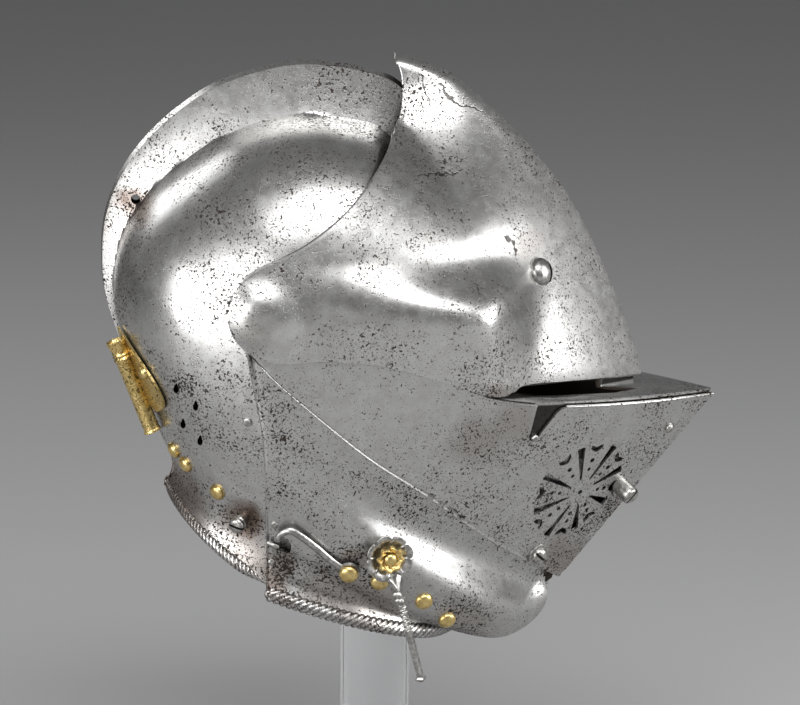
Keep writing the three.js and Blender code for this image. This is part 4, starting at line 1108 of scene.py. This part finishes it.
def build_heads(plates, steel, brass):
    for label, side in (("right", RIGHT), ("left", LEFT)):
        brow, ventail, skull, bevor = (plates[name] for name in ("brow", "ventail", "skull", "bevor"))
        head(
            f"Brow_screw_{label}", brow, 147.5, 24.6, side,
            dome_profile(7.5, 5.4, 0.5), steel, "visor", "steel",
            f"brow_screw_{label}", 0.4, (math.radians(83), 2.0, 1.2, -3.2), 48,
        )
        head(
            f"Brow_washer_{label}", brow, 147.5, 24.6, side,
            [(0.01, -0.5), (8.4, -0.5), (8.3, 0.1), (0.01, 0.25)], steel,
            "visor", "steel", None, 0.3,
        )
        head(
            f"Ventail_screw_{label}", ventail, 160.2, -135.3, side,
            dome_profile(5.0, 3.9, 0.7), steel, "ventail",
            "dark_steel", f"ventail_screw_{label}", 0.6, (math.radians(-32), 1.4, 1.3, 0.0),
        )
        head(
            f"Ventail_washer_{label}", ventail, 160.2, -135.3, side,
            [(0.01, -0.5), (6.7, -0.5), (6.6, 0.3), (5.4, 0.7), (0.01, 0.7)],
            steel, "ventail", "dark_steel", None, 0.2,
        )
        head(
            f"Ventail_rivet_{label}", ventail, 226.7, -63, side,
            dome_profile(2.9, 1.9, 0.2), steel, "ventail",
            "dark_steel", f"ventail_rivet_{label}",
        )
        for i, (x, z) in enumerate([(-41.2, -86.3), (-34.5, -92.5), (-16.6, -103.6)]):
            head(
                f"Skull_lining_rivet_{label}_{i + 1}", skull, x, z, side, dome_profile(4.6, 3.0, 0.3), brass,
                "skull_and_stand", "brass", f"skull_lining_rivet_{label}_{i + 1}",
            )
        for i, (x, z) in enumerate([(73.2, -144.3), (98.2, -156), (112, -168.5)]):
            head(
                f"Bevor_lining_rivet_{label}_{i + 1}", bevor, x, z, side, dome_profile(4.9, 2.9, 0.3), brass,
                "bevor", "brass", f"bevor_lining_rivet_{label}_{i + 1}",
            )
        head(
            f"Skull_flush_rivet_{label}", skull, -3.5, -58.3, side, dome_profile(2.5, 0.8, 0.1), steel,
            "skull_and_stand", "steel", f"skull_flush_rivet_{label}",
        )
    head(
        "Bevor_lining_rivet_left_4", bevor, 56.2, -137.2, LEFT,
        dome_profile(4.9, 2.9, 0.3), brass, "bevor", "brass",
        "bevor_lining_rivet_left_4",
    )
    for name, z, size in (("upper", -114.9, 2.1), ("lower", -137.5, 1.8)):
        head(
            f"Bevor_flush_rivet_{name}", bevor, 14.6, z, RIGHT,
            dome_profile(size, 0.8, 0.1), steel, "bevor", "steel",
            f"bevor_flush_rivet_{name}",
        )
    peg = [(0.01, -0.6), (5.0, -0.6), (5.0, 6.6), (4.8, 7.8), (4.0, 8.6), (0.01, 8.7)]
    head(
        "Ventail_peg", ventail, 204, -98.3, RIGHT, peg, steel, "ventail", "dark_steel", "ventail_peg", 0.3,
        (math.radians(62), 1.2, 7.2, 0.0),
    )
    peg = [
        (0.01, -0.6), (3.2, -0.6), (3.2, 3.6), (4.2, 4.3), (4.45, 5.4), (4.2, 6.3), (3.5, 6.9),
        (4.3, 7.5), (4.5, 8.6), (4.2, 9.6), (3.2, 10.4), (0.01, 10.6),
    ]
    head(
        "Skull_peg", skull, -1.5, -116, RIGHT, peg, steel, "skull_and_stand", "dark_steel", "skull_peg", 0.3,
        (math.radians(-12), 1.3, 8.4, 0.0),
    )


def build_hook(bevor, steel, brass):
    """The S-shaped hook: a bevelled bar that thickens from its tip to the eye, and its brass rivet."""
    spot = bevor.seat(56.2, -137.2)
    back = [
        (-0.8, 0.6), (-4.4, 2.6), (-8.8, 5.4), (-13.8, 9.5), (-19.9, 14.6), (-27.2, 19.9), (-32.6, 22.6),
        (-36.6, 20.9), (-39.4, 17.4), (-39.6, 15.2),
    ]
    route = np.array(back)
    steps = np.linspace(0, len(route) - 1, 90)
    path = np.stack([keyed(np.column_stack([np.arange(len(route)), route[:, k]]))(steps) for k in (0, 1)], 1)
    height = 1.2 - 0.0875 * np.maximum(-path[:, 0] - 4.4, 0)
    path = np.column_stack([path, height])
    share = np.linspace(0, 1, len(path))
    size = 1.75 + 0.35 * np.sin(share * math.pi) - 0.3 * share
    arm = tube(path, size, 12, (0, 0, 1), 0.8, lambda step, turn: 0.07 * np.cos(4 * turn))
    eye = lathe([(2.1, 0), (5.6, 0), (6.1, 0.8), (5.6, 2.2), (2.1, 2.3), (2.1, 0)], 40)
    points, faces = joined([arm, (eye[0], eye[1][:-2])])
    hook = make_mesh("S_hook", placed(points, spot, 2.0), faces, steel, 50)
    own(hook, "s_hook", "steel", "s_hook")
    profile = [(0.01, 3.9), (4.9, 3.9), (5.25, 4.4)]
    for i in range(1, 11):
        turn = math.pi / 2 * i / 10
        profile.append((max(5.25 * math.cos(turn), 0.02), 4.4 + 3.1 * math.sin(turn)))
    points, faces = lathe(profile, 40)
    rivet = make_mesh("Hook_rivet", placed(points, spot, 0.7), faces, brass, 50)
    own(rivet, "bevor", "brass", "hook_rivet")


def build_catch(bevor, steel):
    """The catch in the keyhole: a strip up to a small cross pin."""
    spot = bevor.seat(15.2, -125.5)
    strip_line = [(0.6, -8.6, 0.5), (0.4, -5, 0.7), (0.2, -1.5, 1.1), (0.2, 0.4, 1.5)]
    strip = tube(strip_line, [1.0, 1.1, 1.15, 1.2], 12, (0, 0, 1), 0.6)
    pin_line = [(-2.6, 1.6, 2.2), (0, 0.9, 2.6), (2.4, 0.2, 2.7), (3.6, -0.1, 2.4)]
    pin = tube(pin_line, [1.15, 1.3, 1.35, 0.9], 14)
    points, faces = joined([strip, pin])
    catch = make_mesh("Catch_pin", placed(points, spot, 0.7), faces, steel, 50)
    own(catch, "bevor", "dark_steel", "catch_pin")


def build_prop(bevor, steel, brass):
    """The hanging prop: a dished notched washer, a forked neck, a twisted and a square rod."""
    spot = bevor.seat(75.6, -128.2)

    def eight(turn, height):
        away = (turn + math.pi / 8) % (math.pi / 4) - math.pi / 8
        flat = 1 - 0.035 * np.cos(4 * away) ** 2
        share = smooth_step(1.0, 2.6, height)
        return 1 + (flat - 1) * share - 0.13 * share * np.exp(-((away / 0.06) ** 2))

    dish = [
        (2.1, 0), (5.5, 0.1), (9, 0.9), (12.4, 2.4), (13.4, 3.3), (13.5, 3.9), (13.0, 4.3), (12.0, 4.2),
        (10.4, 3.7), (9.2, 3.0), (8.2, 2.2), (5.5, 1.9), (2.1, 1.9), (2.1, 0),
    ]
    washer = lathe(dish, 192, eight)
    hang = math.radians(19)
    along = np.array((math.sin(hang), -math.cos(hang), 0))
    across = np.array((math.cos(hang), math.sin(hang), 0))
    parts = [(washer[0], washer[1][:-2])]

    def rod(stations, radius, sides, twist=0.0, squash=1.0):
        line = np.array([along * r + across * off + np.array((0, 0, z)) for r, off, z in stations])
        n = len(line)
        angle = np.linspace(0, twist, n)[:, None]

        def four_sided(step, turn):
            return 0.16 * np.cos(4 * (turn - angle))

        return tube(line, radius, sides, (0, 0, 1), squash, four_sided)

    fork = np.linspace(0, 1, 14)
    for off in (-1, 1):
        stations = [(10.5 + 9 * t, off * 3.4 * (1 - t) ** 1.4, 4.2 + 0.8 * t) for t in fork]
        parts.append(rod(stations, 1.5 + 0.3 * fork, 12))
    swell = np.sin(fork * math.pi)
    parts.append(rod([(19 + 3.4 * t, 0, 5.0 + 0.4 * t) for t in fork], 2.6 + 0.5 * swell, 16))
    parts.append(rod([(22.2 + 3.8 * t, 0, 5.4 + 0.5 * t) for t in fork], 2.2 + 0.9 * swell ** 0.7, 24))
    turns = np.linspace(0, 1, 150)
    ring = 1.75 + 0.28 * (0.5 + 0.5 * np.cos(turns * 2 * math.pi * 13))
    parts.append(rod([(26 + 15.5 * t, 0, 5.9 + 1.9 * t) for t in turns], ring, 16, 9.0))
    square = np.linspace(0, 1, 30)
    parts.append(rod([(41.2 + 27.5 * t, 0, 7.8 + 2.2 * t) for t in square], 1.9 - 0.25 * square, 16))
    foot = np.linspace(0, 1, 10)
    parts.append(rod([(68.4 + 2.6 * t, 0, 10.0) for t in foot], 2.0 + 0.7 * np.sin(foot * math.pi), 16))
    points, faces = joined(parts)
    prop = make_mesh("Prop", placed(points, spot, 2.0), faces, steel, 50)
    own(prop, "prop", "dark_steel", "prop")

    def petals(turn, height):
        return 1 + 0.09 * np.cos(8 * turn) * smooth_step(0.5, 2.5, height)

    cup = [
        (2.1, 0), (4.6, 0.1), (6.4, 1.2), (7.4, 2.5), (7.1, 3.4), (6.2, 3.6), (5.2, 2.7), (4.3, 2.1),
        (2.1, 1.9), (2.1, 0),
    ]
    rosette = lathe(cup, 64, petals)
    parts = [(rosette[0], rosette[1][:-2])]
    for i in range(8):
        t = np.linspace(0, 1, 12)
        a = i * math.pi / 4 + 0.9 * t
        line = np.column_stack([(4.2 + 2.7 * t) * np.cos(a), (4.2 + 2.7 * t) * np.sin(a), 2.5 + 1.2 * t])
        parts.append(tube(line, 0.42, 8))
    points, faces = joined(parts)
    flower = make_mesh("Prop_rosette", placed(points, spot, 4.4), faces, brass, 50)
    own(flower, "prop", "brass", "prop_rosette")
    profile = [(0.01, 6.9), (3.5, 6.9)]
    for i in range(0, 10):
        turn = math.pi / 2 * i / 9
        profile.append((max(3.6 * math.cos(turn), 0.02), 7.0 + 2.2 * math.sin(turn)))
    points, faces = lathe(profile, 40)
    rivet = make_mesh("Prop_rivet", placed(points, spot, 0.0), faces, brass, 50)
    own(rivet, "bevor", "brass", "prop_rivet")


def build_plume_holder(skull, brass, engraved):
    """The plume holder: a curved plate on the nape, and its tube with funnel, rings and open foot."""
    top, foot = np.array((-76.8, -40.4, -29.0)), np.array((-53.5, -40.4, -77.5))
    length = np.linalg.norm(top - foot)
    axis = (top - foot) / length
    profile = [
        (3.5, 0), (4.9, 0), (5.0, 0.8), (4.5, 1.5), (4.4, 2.4), (4.4, length - 12), (4.7, length - 11.4),
        (5.2, length - 10.6), (4.7, length - 9.8), (4.5, length - 9.2), (5.1, length - 8.4),
        (4.5, length - 7.6),
        (4.6, length - 5.5), (5.0, length - 3), (5.5, length - 0.8), (5.6, length - 0.1), (5.3, length + 0.3),
        (4.6, length - 0.6), (4.0, length - 5), (3.5, length - 8), (3.5, 0),
    ]
    tube_points, tube_faces = lathe(profile, 48)
    side = np.cross((0, 1, 0), axis)
    turn = np.stack([side / np.linalg.norm(side), np.cross(axis, side) / np.linalg.norm(side), axis], 1)
    tube_part = (tube_points @ turn.T + foot, tube_faces[:-2])
    rows, cols = 36, 22
    reach = keyed(list(enumerate((12, 21, 27, 30, 31, 30, 26, 18))))
    outs = np.zeros((rows, cols, 3))
    vs = np.linspace(0.001, 1, 900)
    for i in range(rows):
        u = 1 - (0.665 + 0.083 * i / (rows - 1))
        line = skull_face(np.full(vs.shape, u), vs)
        widths = np.maximum.accumulate(line[:, 1])
        want = 30 + float(reach(7 * i / (rows - 1))) * np.linspace(0, 1, cols)
        at = np.interp(want, widths, vs)
        outs[i] = skull_face(np.full(cols, u), at) * (1, RIGHT, 1)
    normal = normals_of(outs)
    normal *= np.sign(np.sum(normal * (outs - (0, 0, -40)), -1, keepdims=True))
    top_face, low_face = outs + normal * 2.2, outs + normal * 1.0
    count = rows * cols
    index = np.arange(count).reshape(rows, cols)
    ring = np.concatenate([index[0, :-1], index[:-1, -1], index[-1, :0:-1], index[:0:-1, 0]])
    after = np.roll(ring, -1)
    walls = np.stack([ring, after, after + count, ring + count], 1)
    faces = np.concatenate([grid_faces(rows, cols), grid_faces(rows, cols, count, True), walls])
    points = np.concatenate([top_face.reshape(-1, 3), low_face.reshape(-1, 3)])
    points, faces = joined([tube_part, (points, faces)])
    holder = make_mesh("Plume_holder", points, faces, engraved, 45)
    own(holder, "skull_and_stand", "brass", "plume_holder")
    spot = skull.seat(-58.5, -41.5)
    points, faces = lathe(dome_profile(3.5, 2.6, 0.3), 40)
    rivet = make_mesh("Plume_rivet", placed(points, spot, 2.6), faces, brass, 50)
    own(rivet, "skull_and_stand", "brass", "plume_rivet")


def dress_cad(name, material, bevel):
    """A CAD node that is shown itself: a small bevel and a material."""
    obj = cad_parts[name]
    obj.data.materials.clear()
    obj.data.materials.append(material)
    modifier = obj.modifiers.new("edges", "BEVEL")
    modifier.width = bevel / 1000
    modifier.segments = 3
    modifier.limit_method = "ANGLE"
    modifier.angle_limit = math.radians(40)
    for polygon in obj.data.polygons:
        polygon.use_smooth = True


# Stage


def soft_light(name, where, toward, width, height, watts, tint=(1.0, 1.0, 1.0)):
    data = bpy.data.lights.new(name, "AREA")
    data.shape = "RECTANGLE"
    data.size, data.size_y = width, height
    data.energy = watts
    data.color = tint
    light = bpy.data.objects.new(name, data)
    light.location = where
    light.rotation_euler = (Vector(toward) - Vector(where)).to_track_quat("-Z", "Y").to_euler()
    bpy.context.scene.collection.objects.link(light)
    return light


def build_stage(settings):
    half = 30.0
    mesh = bpy.data.meshes.new("Floor")
    corners = [(-half, -half, -0.0005), (half, -half, -0.0005), (half, half, -0.0005), (-half, half, -0.0005)]
    mesh.from_pydata(corners, [], [(0, 1, 2, 3)])
    mesh.materials.append(floor_paint(settings.floor_tone))
    floor = bpy.data.objects.new("Floor", mesh)
    bpy.context.scene.collection.objects.link(floor)
    lights = [
        soft_light("Overhead", (0.25, -1.3, 1.75), (0.05, 0, 0.32), 1.6, 0.8, settings.overhead_watts),
        soft_light("Left", (-1.3, -1.35, 0.5), (-0.05, 0, 0.3), 1.5, 0.9, settings.left_watts),
        soft_light("Right", (1.7, -0.55, 0.75), (0.05, 0, 0.3), 1.0, 1.0, settings.right_watts),
        soft_light("Rear", (-1.2, 1.1, 1.3), (0, 0, 0.3), 0.8, 0.8, settings.rear_watts),
    ]
    world = bpy.data.worlds.new("Room")
    world.use_nodes = True
    background = world.node_tree.nodes["Background"]
    background.inputs["Color"].default_value = (0.17, 0.17, 0.172, 1)
    background.inputs["Strength"].default_value = settings.room_light
    scene = bpy.context.scene
    scene.world = world
    scene.view_settings.view_transform = "Standard"
    camera_data = bpy.data.cameras.new("Photo_camera")
    camera_data.sensor_width = 36
    camera_data.lens = 248.4
    camera_data.shift_x = 0.1725
    camera_data.shift_y = -0.0869
    camera_data.clip_end = 100
    camera = bpy.data.objects.new("Photo_camera", camera_data)
    aim = Vector(PIVOT) / 1000
    tilt = math.radians(settings.camera_tilt)
    away = Vector((0, -math.cos(tilt), math.sin(tilt)))
    camera.location = aim + away * 3.0
    camera.rotation_euler = (-away).to_track_quat("-Z", "Y").to_euler()
    scene.collection.objects.link(camera)
    scene.camera = camera


# The add-on: settings, operators, panel

MATERIALS = {}
PLATES = {}


class HelmetSettings(bpy.types.PropertyGroup):
    """Numbers that the helmet's pieces are built and lit with."""

    plate_lines: IntProperty(
        name="Skull lines", description="Grid lines up the skull", default=96, min=20, max=160
    )
    tone: FloatProperty(
        name="Steel tone", description="Grey of the clean steel", default=0.60, min=0.1, max=0.95,
        subtype="FACTOR",
    )
    pitting: FloatProperty(
        name="Pitting", description="How thickly the steel is pitted", default=0.0, min=-0.2, max=0.2
    )
    floor_tone: FloatProperty(
        name="Floor tone", description="Grey of the floor", default=0.38, min=0.0, max=1.0, subtype="FACTOR"
    )
    overhead_watts: FloatProperty(
        name="Overhead light", description="Power of the light above and in front", default=32, unit="POWER"
    )
    left_watts: FloatProperty(
        name="Left light", description="Power of the low light at the camera's left", default=25, unit="POWER"
    )
    right_watts: FloatProperty(
        name="Right light", description="Power of the light before the face", default=28, unit="POWER"
    )
    rear_watts: FloatProperty(
        name="Rear light", description="Power of the light behind the comb", default=6, unit="POWER"
    )
    room_light: FloatProperty(
        name="Room light", description="Strength of the grey room", default=1.0, min=0.0, max=5.0
    )
    camera_tilt: FloatProperty(
        name="Camera tilt", description="Degrees that the camera looks down", default=11.0, min=0.0, max=89.0
    )


class HELMET_OT_materials(bpy.types.Operator):
    """Make the finishes of steel, brass and acrylic"""

    bl_idname = "helmet.materials"
    bl_label = "Make the finishes"

    def execute(self, context):
        settings = context.scene.helmet
        tone, pitting = settings.tone, settings.pitting
        MATERIALS["skull"] = plate_steel(
            "skull_steel", tone, pitting,
            [
                (-71.5, 42.5, 15, 0.9), (-2, -116, 17, 1.0), (-40, -112, 30, 0.75), (0, -146, 34, 0.6),
                (-86, 30, 30, 0.3),
            ],
            [((-41, -128), (-26, -134), 0.9)],
        )
        MATERIALS["bevor"] = plate_steel(
            "bevor_steel", tone * 0.9, pitting + 0.005,
            [
                (14, -150, 16, 0.8), (60, -163, 44, 0.45), (20, -138, 12, 0.7), (60, -132, 14, 0.5),
                (120, -176, 30, 0.4),
            ],
        )
        # The visor's skirt and the wall in the sight get painted shade: near black below -43 and above -39.
        MATERIALS["visor"] = plate_steel("visor_steel", tone * 0.85, pitting, painted_shade_heights=(-43.0, -39.0))
        MATERIALS["ventail"] = plate_steel(
            "ventail_steel", tone * 0.92, pitting - 0.02,
            [(138, -52, 20, 0.4), (120, -62, 22, 0.35), (176, -140, 26, 0.5), (205, -110, 18, 0.35)],
        )
        MATERIALS["brow"] = plate_steel(
            "brow_steel", tone, pitting, [(140, 38, 14, 0.35), (-4, -6, 14, 0.3), (128, -36, 12, 0.5)],
            [
                ((78, 74), (99, 74), 0.5), ((127, 44), (132, 40), 1.0), ((132, 40), (134, 35), 0.7),
                ((77, 122), (83, 107), 0.6), ((88, 117), (96, 108), 0.9), ((96, 108), (112, 104), 0.7),
            ],
        )
        MATERIALS["skull_rope"] = plate_steel(
            "skull_rope_steel", tone, pitting, [(-40, -118, 26, 0.7), (0, -152, 24, 0.3)], roped=True
        )
        MATERIALS["bevor_rope"] = plate_steel(
            "bevor_rope_steel", tone * 0.9, pitting, [(20, -158, 16, 0.4), (66, -170, 30, 0.3)], roped=True
        )
        MATERIALS["inside"] = inside_painted_shade()
        MATERIALS["fitting"] = fitting_steel()
        MATERIALS["brass"] = old_brass()
        MATERIALS["engraved"] = old_brass("engraved_brass", True)
        MATERIALS["clear"] = clear_acrylic()
        return {"FINISHED"}


class HELMET_OT_plates(bpy.types.Operator):
    """Build the skull, bevor, visor, ventail and brow reinforce"""

    bl_idname = "helmet.plates"
    bl_label = "Build the plates"

    def execute(self, context):
        PLATES["skull"] = build_skull(context.scene.helmet, MATERIALS["skull"])
        builders = (
            ("bevor", build_bevor), ("visor", build_visor), ("ventail", build_ventail), ("brow", build_brow),
        )
        for name, builder in builders:
            PLATES[name] = builder(MATERIALS[name])
        return {"FINISHED"}


class HELMET_OT_heads(bpy.types.Operator):
    """Build the screws, pegs and rivets"""

    bl_idname = "helmet.heads"
    bl_label = "Build the screws and rivets"

    def execute(self, context):
        build_heads(PLATES, MATERIALS["fitting"], MATERIALS["brass"])
        return {"FINISHED"}


class HELMET_OT_hook(bpy.types.Operator):
    """Build the S-shaped hook and its catch"""

    bl_idname = "helmet.hook"
    bl_label = "Build the hook and catch"

    def execute(self, context):
        build_hook(PLATES["bevor"], MATERIALS["fitting"], MATERIALS["brass"])
        build_catch(PLATES["bevor"], MATERIALS["fitting"])
        return {"FINISHED"}


class HELMET_OT_prop(bpy.types.Operator):
    """Build the hanging prop with its rosette"""

    bl_idname = "helmet.prop"
    bl_label = "Build the prop"

    def execute(self, context):
        build_prop(PLATES["bevor"], MATERIALS["fitting"], MATERIALS["brass"])
        return {"FINISHED"}


class HELMET_OT_plume_holder(bpy.types.Operator):
    """Build the engraved plume holder on the nape"""

    bl_idname = "helmet.plume_holder"
    bl_label = "Build the plume holder"

    def execute(self, context):
        build_plume_holder(PLATES["skull"], MATERIALS["brass"], MATERIALS["engraved"])
        return {"FINISHED"}


class HELMET_OT_cad_pieces(bpy.types.Operator):
    """Give the CAD pieces that are shown themselves their edges and finishes"""

    bl_idname = "helmet.cad_pieces"
    bl_label = "Dress the shown CAD pieces"

    def execute(self, context):
        for name in ("stand_base", "stand_post", "stand_pad"):
            dress_cad(name, MATERIALS["clear"], 0.6)
        for name in ("pivot_bolt_right", "pivot_bolt_left", "notch_peg_right", "notch_peg_left"):
            dress_cad(name, MATERIALS["fitting"], 0.2)
        return {"FINISHED"}


class HELMET_OT_stage(bpy.types.Operator):
    """Set the floor, the lights and the camera"""

    bl_idname = "helmet.stage"
    bl_label = "Set the stage"

    def execute(self, context):
        build_stage(context.scene.helmet)
        return {"FINISHED"}


class HELMET_PT_panel(bpy.types.Panel):
    """Lists the helmet's settings and operators"""

    bl_label = "Close helmet"
    bl_space_type = "VIEW_3D"
    bl_region_type = "UI"
    bl_category = "Helmet"

    def draw(self, context):
        for name in HelmetSettings.__annotations__:
            self.layout.prop(context.scene.helmet, name)
        for operator in OPERATORS:
            self.layout.operator(operator.bl_idname)


OPERATORS = (
    HELMET_OT_materials,
    HELMET_OT_plates,
    HELMET_OT_heads,
    HELMET_OT_hook,
    HELMET_OT_prop,
    HELMET_OT_plume_holder,
    HELMET_OT_cad_pieces,
    HELMET_OT_stage,
)


def register():
    for cls in (HelmetSettings, *OPERATORS, HELMET_PT_panel):
        bpy.utils.register_class(cls)
    bpy.types.Scene.helmet = PointerProperty(type=HelmetSettings)


def unregister():
    del bpy.types.Scene.helmet
    for cls in (HELMET_PT_panel, *reversed(OPERATORS), HelmetSettings):
        bpy.utils.unregister_class(cls)


def main():
    register()
    bpy.ops.helmet.materials()
    bpy.ops.helmet.plates()
    bpy.ops.helmet.heads()
    bpy.ops.helmet.hook()
    bpy.ops.helmet.prop()
    bpy.ops.helmet.plume_holder()
    bpy.ops.helmet.cad_pieces()
    bpy.ops.helmet.stage()


if __name__ == "__main__":
    main()
